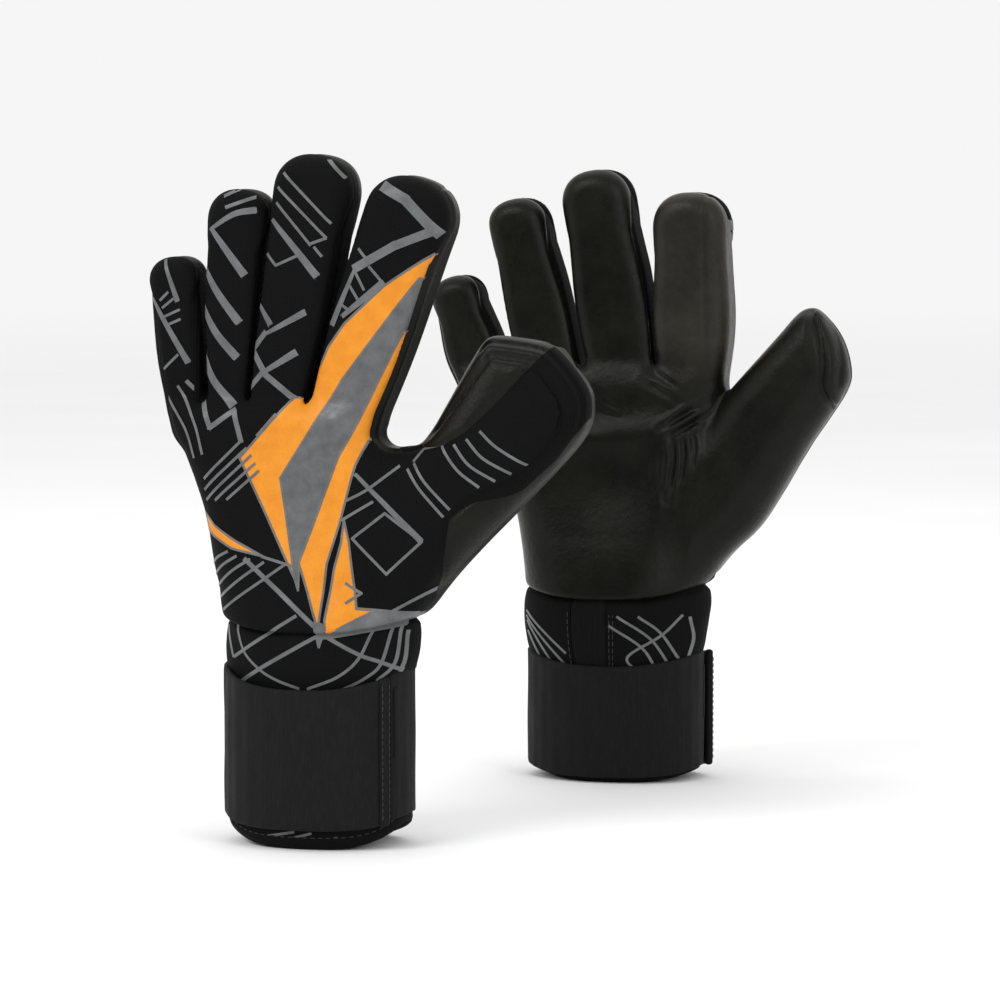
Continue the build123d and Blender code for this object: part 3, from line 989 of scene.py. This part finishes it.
def welded(thing):
    """Joins vertices that lie on each other and turns every face outwards."""
    work = bmesh.new()
    work.from_mesh(thing.data)
    bmesh.ops.remove_doubles(work, verts=work.verts, dist=WELD)
    bmesh.ops.dissolve_degenerate(work, edges=work.edges, dist=WELD / 2)
    bmesh.ops.recalc_face_normals(work, faces=work.faces)
    work.to_mesh(thing.data)
    work.free()
    thing.data.polygons.foreach_set("use_smooth", np.ones(len(thing.data.polygons), bool))
    return thing


def stitches(spots, outward, length, pitch, thick):
    """Thread stitches along a line of points, each a small spindle lying on the surface."""
    steps = np.linalg.norm(np.diff(spots, axis=0), axis=1)
    run = np.concatenate([[0], np.cumsum(steps)])
    starts = np.arange(pitch / 2, run[-1] - length / 2, pitch)
    verts, faces = [], []
    for middle in starts:
        ends = np.array([middle - length / 2, middle + length / 2])
        a, b = (np.array([np.interp(e, run, spots[:, k]) for k in range(3)]) for e in ends)
        up = np.array([np.interp(middle, run, outward[:, k]) for k in range(3)])
        up /= np.linalg.norm(up)
        along = (b - a) / np.linalg.norm(b - a)
        side = np.cross(up, along)
        base = len(verts)
        for t, r, rise in ((0, 0.35, -0.1), (0.12, 0.9, 0.12), (0.5, 1.0, 0.3), (0.88, 0.9, 0.12), (1, 0.35, -0.1)):
            centre = a + (b - a) * t + up * rise * thick * 2
            for turn in range(6):
                angle = turn * math.pi / 3
                verts.append(centre + (side * math.cos(angle) + up * math.sin(angle) * 0.8) * r * thick)
        for ring in range(4):
            for turn in range(6):
                i, j = base + ring * 6 + turn, base + ring * 6 + (turn + 1) % 6
                faces += [(i, j, j + 6), (i, j + 6, i + 6)]
        faces += [(base, base + k + 1, base + k) for k in range(1, 5)]
        faces += [(base + 24, base + 24 + k, base + 24 + k + 1) for k in range(1, 5)]
    verts, faces = np.array(verts).reshape(-1, 3), np.array(faces, int).reshape(-1, 3)
    return {"verts": verts, "normals": np.zeros_like(verts), "inner": np.zeros(len(verts)), "tris": faces}


def cuff_line(glove, bearings, heights, out, plain=False):
    """A line on the cuff or the strap for stitches, and the way outwards along it."""
    spots = cuff_point(glove, bearings, heights, out, plain)
    return spots, cuff_point(glove, bearings, heights, out + 1.0, plain) - spots


def piece(side, glove, name, mesh, material, slot, part, *nodes):
    """A finished piece of the cuff or the strap."""
    thing = welded(made(f"{side}_{name}", glove, mesh["verts"], mesh["tris"], MATERIALS[material]))
    follow(remember(thing, glove), side, glove, part)
    if nodes:
        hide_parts(*(f"{side}_{node}" for node in nodes))
    return thing


def cuff_shell(glove, bearings, profile, step=STRIP_STEP):
    """Part of the cuff from its own closed cross section of heights and outs at each bearing."""
    turns = turns_between(*bearings, step)[:, None]
    z, out = profile(turns)
    return tube(cuff_point(glove, turns, z, out))


def build_cuff(side):
    glove = GLOVES[side]
    end = glove["flap_end"]
    last = 360 + INSERT[0]

    def neoprene(turns):
        up = np.linspace(0, 1, 110)
        x = cuff_point(glove, turns, 80.0)[..., 0]
        top = seam_heights(glove, x) + 3.0
        low = hem_height(glove, turns) + 1.4
        z = np.concatenate([low + (top - low) * up, (low + (top - low) * up)[..., ::-1]], axis=1)
        tuck = -1.9 * smoothstep(-4.0, -0.5, z - top + 2.0)
        soft = 0.28 * np.sin(turns * 0.12 + z * 0.07) * np.sin(z * 0.21 + turns * 0.04) * smoothstep(62, 72, z)
        roll = -1.1 * np.clip(1 - (z - low) / 6.0, 0, 1) ** 2
        face = np.concatenate([np.zeros(110), np.full(110, -3.0)])
        return z, face + np.where(face > -1, tuck + soft + roll, roll)

    def elastic(turns):
        z, out = neoprene(turns)
        ribs = 0.35 * np.cos((turns - INSERT[0]) / (INSERT[1] - INSERT[0]) * math.tau * 7)
        edge = np.minimum(turns - INSERT[0], INSERT[1] - turns)
        rounded_side = -1.0 * np.exp(-np.clip(edge, 0, 90) / 1.2)
        return z, np.where(out > -2.2, out + 0.45 + ribs * 0.5 + rounded_side, out)

    def binding(turns):
        low = hem_height(glove, turns)
        turn = np.radians(np.linspace(0, 360, 41)[:-1])
        z = low + 3.0 + 2.9 * np.sin(turn)
        roll = -1.1 * np.clip(1 - (z - low - 1.4) / 6.0, 0, 1) ** 2
        return z, -1.5 + 2.05 * np.sign(np.cos(turn)) * np.abs(np.cos(turn)) ** 0.45 + roll

    def edges(turns):
        return strap_edges(glove, turns)

    def patch_edges(turns):
        low, high = strap_edges(glove, turns)
        return low + 4, high - 4

    def anchor_edges(turns):
        low, high = strap_edges(glove, turns)
        return low + 0.42 * (high - low), high - 5.0

    shell = cuff_shell(glove, (INSERT[1], last), neoprene)
    insert = cuff_shell(glove, INSERT, elastic, 0.35)
    hem = cuff_shell(glove, (0, 360), binding)
    band = strip(glove, (end + 4 - 360, 179.4), edges, 0.1, STRAP_THICK, 0.12)
    flap = strip(glove, (180.4, end - 7), edges, FLAP_OUT, FLAP_OUT + STRAP_THICK, 0.16, 2.7)
    tab = strip(glove, (end - 7.6, end), edges, FLAP_OUT - 0.1, FLAP_OUT + STRAP_THICK + 0.75)
    loops = strip(glove, (end - 58, end + 4), patch_edges, 0.05, 1.2)
    hooks = strip(glove, (end - 46, end - 7), patch_edges, FLAP_OUT - 1.15, FLAP_OUT + 0.1)
    anchor = strip(glove, (end + 7.4 - 360, end + 12.6 - 360), anchor_edges, STRAP_THICK - 0.1, STRAP_THICK + 0.35)
    for name, mesh, slot, part, node in (("cuff", shell, "neoprene", "hand", "cuff_body"),
                                         ("insert", insert, "elastic_rib", "hand", "cuff_insert"),
                                         ("hem", hem, "binding", "hand", "cuff_hem"),
                                         ("strap_band", band, "strap_elastic", "hand", "strap_band"),
                                         ("strap_flap", flap, "strap_elastic", "flap", "strap_flap"),
                                         ("strap_tab", tab, "strap_elastic", "flap", "strap_tab"),
                                         ("loop_patch", loops, "loop_tape", "hand", "loop_patch"),
                                         ("hook_patch", hooks, "hook_tape", "flap", "hook_patch"),
                                         ("strap_anchor", anchor, "strap_elastic", "hand", "strap_anchor")):
        piece(side, glove, f"{name}_skin", mesh, slot, slot, part, node)

    # thread: along the hem, beside the insert, round the flap, and the bars that hold the band
    turns = np.linspace(0, 360, 400)
    low = hem_height(glove, turns)
    spots, outward = cuff_line(glove, turns, low + 5.0, -0.05)
    sewn = [stitches(spots, outward, 2.2, 3.0, 0.22)]
    for turn in (INSERT[0] - 1.9, INSERT[0] - 4.2, INSERT[1] + 1.9):
        heights = np.linspace(4.0, glove["seam_z"][0] - 3, 60)
        spots, outward = cuff_line(glove, np.full(60, turn), heights, 0.05)
        sewn.append(stitches(spots, outward, 2.2, 3.0, 0.2))
    low, high = anchor_edges(end + 10.0)
    for z in np.arange(low + 1.0, high - 0.6, 1.15):
        bars = np.linspace(end + 7.9, end + 12.1, 8)
        spots, outward = cuff_line(glove, bars, np.full(8, z), STRAP_THICK + 0.42, True)
        sewn.append(stitches(spots, outward, 2.2, 2.25, 0.3))
    piece(side, glove, "cuff_thread", joined(*sewn), "thread", "binding", "hand")
    sewn = []
    for turn in (end - 1.5, end - 6.2):
        low, high = strap_edges(glove, turn)
        heights = np.linspace(low + 1.2, high - 1.2, 90)
        out = FLAP_OUT + STRAP_THICK + (0.78 if turn > end - 7 else 0.05)
        spots, outward = cuff_line(glove, np.full(90, turn), heights, out, True)
        sewn.append(stitches(spots, outward, 1.9, 2.6, 0.22))
    piece(side, glove, "flap_thread", joined(*sewn), "thread", "binding", "flap")

    # the cuff with the way out at each point, for the prints
    middle = shell["verts"] * [0, 0, 1]
    shell["normals"] = shell["verts"] - middle
    shell["normals"] /= np.linalg.norm(shell["normals"], axis=1)[:, None]
    return shell


# ---- the printed pattern: thin films laid on the fabric ---------------------------------------------
# X and Z in millimetres on the back of the left glove; the right glove's are moved to its own fingers.
ORANGE = [
    [(56, 228.5), (49, 227.3), (30.5, 215.2), (14.9, 200.9), (8.1, 191.7), (4.7, 184.8), (-2.3, 172), (-5.7, 172.4),
     (-26.2, 149), (-2.0, 103.4), (-9.6, 141.6), (13.8, 179.4), (43.8, 218), (54, 219.5)],
    [(37.4, 197.8), (50, 198.5), (40, 179), (25.4, 161), (20.2, 147), (14.8, 124.6), (10.4, 109.8), (8.4, 87),
     (7.4, 87), (-0.8, 109.8), (13.4, 149.8), (28.2, 179.4)],
    [(16.6, 126.4), (18.9, 118), (22.6, 93), (29.2, 92.4), (11.2, 82.8), (10.6, 88.5), (13.4, 108), (15.8, 118)],
    [(-42.2, 127.8), (-36.8, 123.0), (-27, 117.6), (-15.5, 112.0), (-28.5, 114.6), (-40.8, 120.5)],
]
SHINY = [
    [(43.8, 218), (13.8, 179.4), (-9.6, 141.6), (-2.0, 103.4), (-0.6, 99.4), (-0.6, 111), (13.4, 149.8),
     (28.2, 179.4), (37.4, 197.8), (50, 198.5), (54, 219.5)],
]
PAST_SEAM = [(56, 228.5), (54, 219.5), (50, 198.5), (40, 179), (25.4, 161)]  # no outline between these
WIDE = 2  # lines from this width are cut from the fabric's own mesh, narrower ones are laid on it
CUFF_TOP = 92  # patterns that start below this reach the cuff too
THIN_LIFT, WIDE_LIFT = 0.2, 0.26
LAYER = 0.0006  # each line lies this much above the one before, so that crossing lines don't flicker
GREY = [
    [(22.6, 93.2), (46, 90.8), (43.5, 87.2), (12, 81.8), (11.2, 82.8), (29.2, 92.4)],
    [(6.4, 87.4), (9.6, 87.0), (11.2, 82.8), (12, 81.8), (9.4, 81.6), (8.4, 78.2), (7.4, 81.8)],
]
STROKES = [
    (2.1, (-59.6, 224.3), (-53.5, 208.3)), (1, (-60.9, 208.7), (-57.4, 212.1)), (1, (-60, 205.8), (-55.2, 209.6)),
    (1, (-59.1, 202.5), (-52.6, 205.4)), (1, (-57.9, 199.3), (-52.3, 201.7)), (2.5, (-64.4, 210), (-49.5, 184.8)),
    (1, (-59.6, 182.3), (-53.5, 188.1)), (1.4, (-35.5, 248.7), (-28.9, 251.7), (-22.8, 252.5)),
    (1.4, (-34.2, 244.5), (-21.1, 249.1)), (2.5, (-40.3, 236.1), (-30.7, 242), (-22, 243.6)),
    (3.2, (-40.0, 236.8), (-26.0, 218.6)), (3.4, (-43, 222.6), (-36.6, 211.6), (-28.1, 200.4)),
    (3.4, (-43.4, 207.5), (-37.4, 196.4), (-29, 187)), (3.4, (-43.8, 191.5), (-38.8, 178.6), (-29.8, 168.5)),
    (2, (-29.3, 167.2), (-25.6, 154.8)), (1.1, (4.3, 264.5), (13.5, 255)), (1.1, (-10.6, 257.9), (8.6, 238.6)),
    (1.1, (-12.8, 252.5), (6.9, 233.1)), (1.1, (-13.2, 246.6), (0.8, 230.2)), (1.1, (6.9, 233.1), (-0.1, 230.6)),
    (3, (-15, 240.3), (3.4, 218.4)), (1.1, (2.1, 229.8), (5.2, 226)), (2.6, (-16.8, 196.6), (-1, 205)),
    (2.2, (-20.2, 208.3), (-15, 199.9)), (2, (-22, 190.7), (-16.8, 197.4)), (2.8, (-18.5, 181.4), (-4.5, 189.8)),
    (2, (-24.6, 174.7), (-18.5, 181.4)), (2.4, (19.1, 221.8), (13.9, 210), (9.5, 199.9)),
    (1.1, (24.4, 222.6), (29.6, 216.7)), (1.1, (19.2, 220.1), (22.7, 213.4)), (1.1, (17, 215), (20.1, 210)),
    (1.1, (13.1, 208.3), (16.6, 205.8)), (1.1, (20.1, 229.3), (23.6, 225.1)), (3, (13.8, 203.4), (30.6, 216.6)),
    (1.1, (53.9, 154.9), (60.8, 145.9), (69.3, 139.7)), (1.1, (59, 155.6), (65.1, 148), (75.2, 142.1)),
    (1.1, (63.7, 157.7), (70.2, 150.7), (80.9, 144.9)), (1.1, (68.7, 160.8), (75.2, 154.9), (86.7, 148)),
    (1.1, (40.4, 146), (46.8, 137.7), (55.6, 128.3)), (1.1, (42.8, 148.1), (48.7, 140.5), (58.1, 131.1)),
    (2.4, (20.2, 144), (47.2, 118.8)), (1.1, (15.5, 126.2), (27.9, 133.6)),
    (1.1, (17, 133.6), (25.5, 138.1), (37.2, 147)), (1.1, (34, 91.4), (54.9, 103.3)),
    (1.1, (-41, 140.7), (-26.4, 155)), (1.1, (-41, 136.5), (-23.4, 153)), (1.1, (-40.4, 132.5), (-21.5, 150.2)),
    (1.1, (-36, 132.6), (-19.8, 147.2)), (1.1, (-31, 133), (-18.2, 144.4)), (1.8, (6.6, 86.2), (-22.9, 111)),
    (1.3, (-28.9, 72.4), (-0.5, 90)), (1.1, (-16, 111.9), (-3, 108.4)),
    (1.1, (-5.5, 109.6), (-14.7, 103.2), (-25.4, 95.9), (-33.5, 90.4)),
    (1.1, (-14.7, 109.8), (-24, 103.4), (-35.2, 95.2)), (1.1, (-20.4, 110.8), (-29, 105.4), (-37.6, 98.6)),
    (1.1, (-26, 111.8), (-33, 107.8), (-39.6, 102.4)), (1.1, (-30, 113.4), (-36, 110.4), (-41, 106.2)),
    (1.1, (-58.5, 172), (-49.5, 160), (-45.5, 148.5)), (1.1, (-54, 176), (-45.5, 163), (-41.5, 150)),
    (1.6, (-50.5, 178), (-43.4, 170.6)), (1.1, (-12, 166), (-19.5, 157.5)),
]
CORNERED = [
    (2, (-43.8, 173), (-38.6, 160.4), (-29, 167.2)), (1.1, (-16.8, 226.9), (-13.2, 222.6), (-4.5, 226.4)),
    (2.4, (-22.8, 190.7), (-16.8, 180.6), (-6.2, 172.2)), (4, (29.6, 252.5), (38.4, 247.8), (50.7, 235.2)),
    (3.4, (49.8, 236.1), (34.1, 230.2), (19.1, 221.8)), (1.1, (42.5, 148.8), (46, 153.5), (52.1, 155)),
    (1.1, (47.2, 118.8), (33.3, 106.2), (20.2, 119.5), (32.5, 129.2), (47.2, 118.8)),
    (1.1, (18.2, 102.5), (24, 98.8), (18.6, 95.1)),
]
CUFF_BACK = [
    (1.2, (-33.4, 84), (-29.2, 72.2)), (1.1, (-27.6, 85), (-23.5, 75), (-16.4, 68.8), (-9, 65.1), (0.5, 62)),
    (1.5, (7.6, 82.4), (-16.4, 68.8), (-27.5, 61.9)), (1.5, (11, 82.2), (23.2, 75.2), (29.8, 72.4), (36.5, 68.6)),
    (1.1, (27.8, 85), (22.7, 73.8), (15.2, 66.9), (3.5, 62)), (1.1, (34, 86), (30.3, 72), (24.7, 66.2), (16.9, 62)),
    (1.1, (36.6, 86), (34.4, 71.8), (28.4, 65)), (1.1, (38.4, 84), (37.4, 74), (35.6, 68)),
    (1.0, (-15.4, 4.4), (-1.5, 7.1)), (1.0, (-10.5, 2.4), (5.3, 6.8)), (1.0, (1.9, 1.4), (14.9, 5.2)),
    (1.0, (15, 1.6), (23.3, 3.9)),
]
CUFF_PALM = [
    (1.1, (-35.4, 71.2), (-14.5, 54.4)), (1.1, (-35.4, 69), (-15, 49.4)), (1.1, (-34.8, 67), (-20.3, 48.2)),
    (1.1, (-34.4, 62.6), (-26.6, 49.5)), (1.1, (4.8, 67.1), (18.3, 57.8), (24.1, 47.1)),
    (1.1, (8.2, 71.1), (22.2, 61.1), (30.3, 46.3)), (1.1, (16.9, 71.1), (26.1, 63.7), (33.9, 49.1)),
    (1.1, (34.2, 71.5), (26.1, 63), (12.3, 53.6), (17.7, 46.6)), (1.1, (36.6, 70.6), (37.6, 61.5), (35.4, 53)),
]


def polygon(points):
    """A filled outline as a flat mesh fine enough to be laid over the glove."""
    spacing = 1.1
    p = np.array(points, float)
    rim = [np.linspace(a, b, max(1, int(np.linalg.norm(b - a) / spacing)), endpoint=False)
           for a, b in zip(p, np.roll(p, -1, axis=0))]
    rim = np.vstack(rim)
    xs = np.arange(rim[:, 0].min(), rim[:, 0].max(), spacing)
    zs = np.arange(rim[:, 1].min(), rim[:, 1].max(), spacing)
    gx, gz = (g.ravel() for g in np.meshgrid(xs, zs))
    inside = outline_distance(gx, gz, rim) < -0.5 * spacing
    spots = np.vstack([rim, np.stack([gx, gz], 1)[inside]])
    found = delaunay_2d_cdt([Vector(v) for v in spots], [], [list(range(len(rim)))], 1, 1e-5)
    return np.array([tuple(v) for v in found[0]]), np.array([f[:3] for f in found[2]], int)


def ribbon(points, width, taper=0.0):
    """A drawn line as a flat mesh, starting narrower by the share taper."""
    line = curve(points, 1.0)
    along = unit(np.gradient(line, axis=0))
    side = np.stack([-along[:, 1], along[:, 0]], 1)
    places = np.linspace(-width / 2, width / 2, 2 + int(width / 1.3))
    share = 1 - taper * (1 - np.linspace(0, 1, len(line))) ** 1.5
    spots = line[:, None] + side[:, None] * places[None, :, None] * share[:, None, None]
    grid = sheet(np.concatenate([spots, np.zeros_like(spots[..., :1])], axis=-1))
    return grid["verts"][:, :2], grid["tris"]


def rim_of(line):
    """The outline of a drawn line."""
    spots, tris = line
    columns = int(tris[0][2] - tris[0][1])
    grid = spots.reshape(-1, columns, 2)
    return np.vstack([grid[:, 0], grid[::-1, -1]])


def cut_out(mesh, outline, lift):
    """The part of a mesh on the back of the glove inside an outline, lifted off it."""
    (left, low), (right, high) = outline.min(axis=0) - 2, outline.max(axis=0) + 2
    centres = middles(mesh)
    near = (centres[:, 0] > left) & (centres[:, 0] < right) & (centres[:, 2] > low) & (centres[:, 2] < high)
    if not near.any():
        return None
    inside, _ = parted(chosen(mesh, near), lambda x, y, z: -outline_distance(x, z, outline))
    if len(inside["tris"]) == 0:
        return None
    return {**inside, "verts": inside["verts"] + inside["normals"] * lift}


def laid(flat, ground, facing, lift):
    """Lays a flat mesh on the ground mesh, looking at it from the palm (1) or from the back (-1)."""
    spots, tris = flat
    tree = ground["tree"]
    verts, normals, good = np.zeros((len(spots), 3)), np.zeros((len(spots), 3)), np.zeros(len(spots), bool)
    for i, (x, z) in enumerate(spots):
        where, _, face, _ = tree.ray_cast(Vector((x, facing * 90.0, z)), Vector((0, -facing, 0)))
        if where is None:
            continue
        corners = ground["tris"][face]
        away = np.linalg.norm(ground["verts"][corners] - np.array(where), axis=1) + 1e-4
        normal = (ground["normals"][corners] / away[:, None]).sum(axis=0)
        normals[i] = normal / np.linalg.norm(normal)
        verts[i] = np.array(where) + normals[i] * lift
        good[i] = True
    depth = verts[tris][:, :, 1]
    keep = good[tris].all(axis=1) & (np.ptp(depth, axis=1) < 4.5)
    tris = tris[keep]
    if len(tris) == 0:
        return None
    mesh = {"verts": verts, "normals": normals, "inner": np.zeros(len(verts)), "tris": tris}
    a, b, c = (verts[tris[:, k]] for k in range(3))
    flipped = (np.cross(b - a, c - a) * normals[tris[:, 0]]).sum(axis=1) < 0
    mesh["tris"][flipped] = mesh["tris"][flipped][:, ::-1]
    return chosen(mesh, np.ones(len(tris), bool))


def moved(glove, points):
    """A left-hand pattern's points on this glove's own fingers."""
    if not glove["mirrored"]:
        return points
    other, out = GLOVES["left"], []
    for x, z in points:
        share = float(smoothstep(118, 166, z))
        from_x, to_x, stretch = [], [], []
        for finger in FINGERS:
            (ax, _, (bx, bz), _, _), (cx, _, (dx, dz), _, _) = other["fingers"][finger], glove["fingers"][finger]
            from_x.append(ax + (bx - ax) * (z - KNUCKLE_Z) / (bz - KNUCKLE_Z))
            to_x.append(cx + (dx - cx) * (z - KNUCKLE_Z) / (dz - KNUCKLE_Z))
            stretch.append((dz - KNUCKLE_Z) / (bz - KNUCKLE_Z))
        outer = [from_x[0] - 20] + from_x + [from_x[-1] + 40]
        shifts = [to_x[0] - from_x[0]] + [b - a for a, b in zip(from_x, to_x)] + [0.0]
        rise = np.interp(x, from_x, stretch) if z > KNUCKLE_Z and x < 50 else 1.0
        out.append((x + share * np.interp(x, outer, shifts), KNUCKLE_Z + (z - KNUCKLE_Z) * rise))
    return out


def with_tree(mesh):
    """A mesh that prints can be laid on."""
    return {**mesh, "tree": BVHTree.FromPolygons(mesh["verts"].tolist(), mesh["tris"].tolist())}


def film(side, glove, part, name, meshes):
    """One piece of the pattern."""
    meshes = [mesh for mesh in meshes if mesh is not None and len(mesh["tris"])]
    if meshes:
        whole = joined(*meshes)
        thing = made(f"{side}_{part}_print_{name}", glove, whole["verts"], whole["tris"],
                     MATERIALS[f"print_{name}"], whole["normals"])
        follow(remember(thing), side, glove, "hand" if part == "cuff" else part)


def segments(width, points):
    """A cornered line as straight pieces that overlap a little at the corners."""
    points = np.array(points, float)
    for a, b in zip(points[:-1], points[1:]):
        reach = (b - a) / (np.linalg.norm(b - a) + 1e-9) * 0.3 * width
        yield ribbon([a - reach, b + reach], width)


def print_films(side, hand_meshes, cuff):
    """The pattern on the back of the hand, on the fingers and round the cuff."""
    glove = GLOVES[side]
    skin, backs = hand_meshes
    ground, round_cuff = with_tree(skin), with_tree(cuff)
    shapes = {"orange": (ORANGE, 0.13), "shiny": (SHINY, 0.15), "grey": (GREY, 0.17)}
    layers = {name: {part: [] for part in backs} for name in shapes}
    on_cuff = {name: [] for name in shapes}
    for name, (outlines, lowest) in shapes.items():
        for i, outline in enumerate(outlines):
            lift = lowest + 0.004 * i
            for part, mesh in backs.items():
                layers[name][part].append(cut_out(mesh, np.array(moved(glove, outline), float), lift))
            if min(z for x, z in outline) < CUFF_TOP:
                on_cuff[name].append(laid(polygon(moved(glove, outline)), round_cuff, -1, lift))
    lines = []
    for shape in ORANGE + SHINY + GREY:
        for ends in zip(shape, shape[1:] + shape[:1]):
            if not (ends[0] in PAST_SEAM and ends[1] in PAST_SEAM):
                lines += list(segments(0.9, moved(glove, ends)))
    wide = []
    for width, *points in CORNERED:
        (wide if width >= WIDE else lines).extend(segments(width, moved(glove, points)))
    for width, *points in STROKES:
        (wide if width >= WIDE else lines).append(ribbon(moved(glove, points), width, 0.45 * (width > WIDE)))
    for i, line in enumerate(wide):
        for part, mesh in backs.items():
            layers["grey"][part].append(cut_out(mesh, rim_of(line), WIDE_LIFT + LAYER * i))
    drawn = [laid(line, ground, -1, THIN_LIFT + LAYER * i) for i, line in enumerate(lines)]
    for part, mesh in split_digits(glove, joined(*[mesh for mesh in drawn if mesh is not None])).items():
        layers["grey"][part].append(parted(mesh, back_field(glove, part))[0])
    for name, parts in layers.items():
        for part, meshes in parts.items():
            film(side, glove, part, name, meshes)
    round_lines = [(-1, ribbon(p, w)) for w, *p in CUFF_BACK]
    round_lines += [(-1, line) for line in lines if line[0][:, 1].min() < CUFF_TOP]
    round_lines += [(1, ribbon(p, w)) for w, *p in CUFF_PALM]
    for i, (facing, line) in enumerate(round_lines):
        on_cuff["grey"].append(laid(line, round_cuff, facing, 0.18 + 0.002 * i))
    for name, meshes in on_cuff.items():
        film(side, glove, "cuff", name, meshes)


# ---- stage, light, camera --------------------------------------------------------------------------
def stage():
    """A wide pale floor."""
    data = bpy.data.meshes.new("studio_floor")
    corners = [(-30, -30, 0), (30, -30, 0), (30, 30, 0), (-30, 30, 0)]
    data.from_pydata(corners, [], [(0, 1, 2, 3)])
    floor = bpy.data.objects.new("studio_floor", data)
    bpy.context.scene.collection.objects.link(floor)
    n = Nodes("studio_paper")
    spot = n.add("ShaderNodeTexCoord").outputs["Object"]
    colour = n.mix(n.ramp(n.noise(spot, 3.0), 0.3, 0.7), rgb(240, 240, 240), rgb(244, 244, 244))
    n.finish(Base_Color=colour, Roughness=0.85, Specular_IOR_Level=0.2)
    away = n.add("ShaderNodeVectorMath", {"operation": "LENGTH"}, **{"0": spot}).outputs["Value"]
    far = n.ramp(away, 1.2, 6.0)
    sky = n.add("ShaderNodeEmission", Color=(1, 1, 1, 1), Strength=SKY).outputs[0]
    both = n.add("ShaderNodeMixShader", **{"0": far, "1": n.shader.outputs[0], "2": sky})
    n.tree.links.new(both.outputs[0], n.tree.nodes["Material Output"].inputs["Surface"])
    data.materials.append(n.material)


def light(name, spot, aim, size, power):
    lamp = bpy.data.lights.new(name, "AREA")
    lamp.shape = "RECTANGLE"
    lamp.size, lamp.size_y = size
    lamp.energy = power
    thing = bpy.data.objects.new(name, lamp)
    bpy.context.scene.collection.objects.link(thing)
    thing.location = spot
    thing.rotation_euler = (Vector(aim) - Vector(spot)).to_track_quat("-Z", "Y").to_euler()


SKY = 0.92  # how bright the surroundings are
CAMERA_TURN = math.radians(16)
CAMERA_RISE = math.radians(4.5)
CAMERA_AIM = Vector((0.01445, -0.0723, 0.1314))
CAMERA_REACH = 1.668


def camera():
    data = bpy.data.cameras.new("camera")
    data.lens, data.sensor_width = 155, 36
    thing = bpy.data.objects.new("camera", data)
    bpy.context.scene.collection.objects.link(thing)
    away = Vector((math.sin(CAMERA_TURN) * math.cos(CAMERA_RISE), -math.cos(CAMERA_TURN) * math.cos(CAMERA_RISE),
                   math.sin(CAMERA_RISE)))
    thing.location = CAMERA_AIM + away * CAMERA_REACH
    thing.rotation_euler = (-away).to_track_quat("-Z", "Y").to_euler()
    bpy.context.scene.camera = thing


stage()
camera()
light("key", (-0.9, -1.5, 1.4), (0, 0, 0.13), (0.9, 0.6), 17)
light("fill", (1.5, -1.1, 0.9), (0, 0, 0.12), (0.7, 1.2), 9)
light("top", (0.0, 0.5, 1.9), (0, 0, 0.1), (2.2, 1.6), 9)
world = bpy.data.worlds.new("studio")
world.use_nodes = True
background = world.node_tree.nodes["Background"]
background.inputs["Color"].default_value = (1, 1, 1, 1)
background.inputs["Strength"].default_value = SKY
bpy.context.scene.world = world
bpy.context.scene.view_settings.view_transform = "Standard"

for side in ("left", "right"):
    print_films(side, build_glove(side), build_cuff(side))
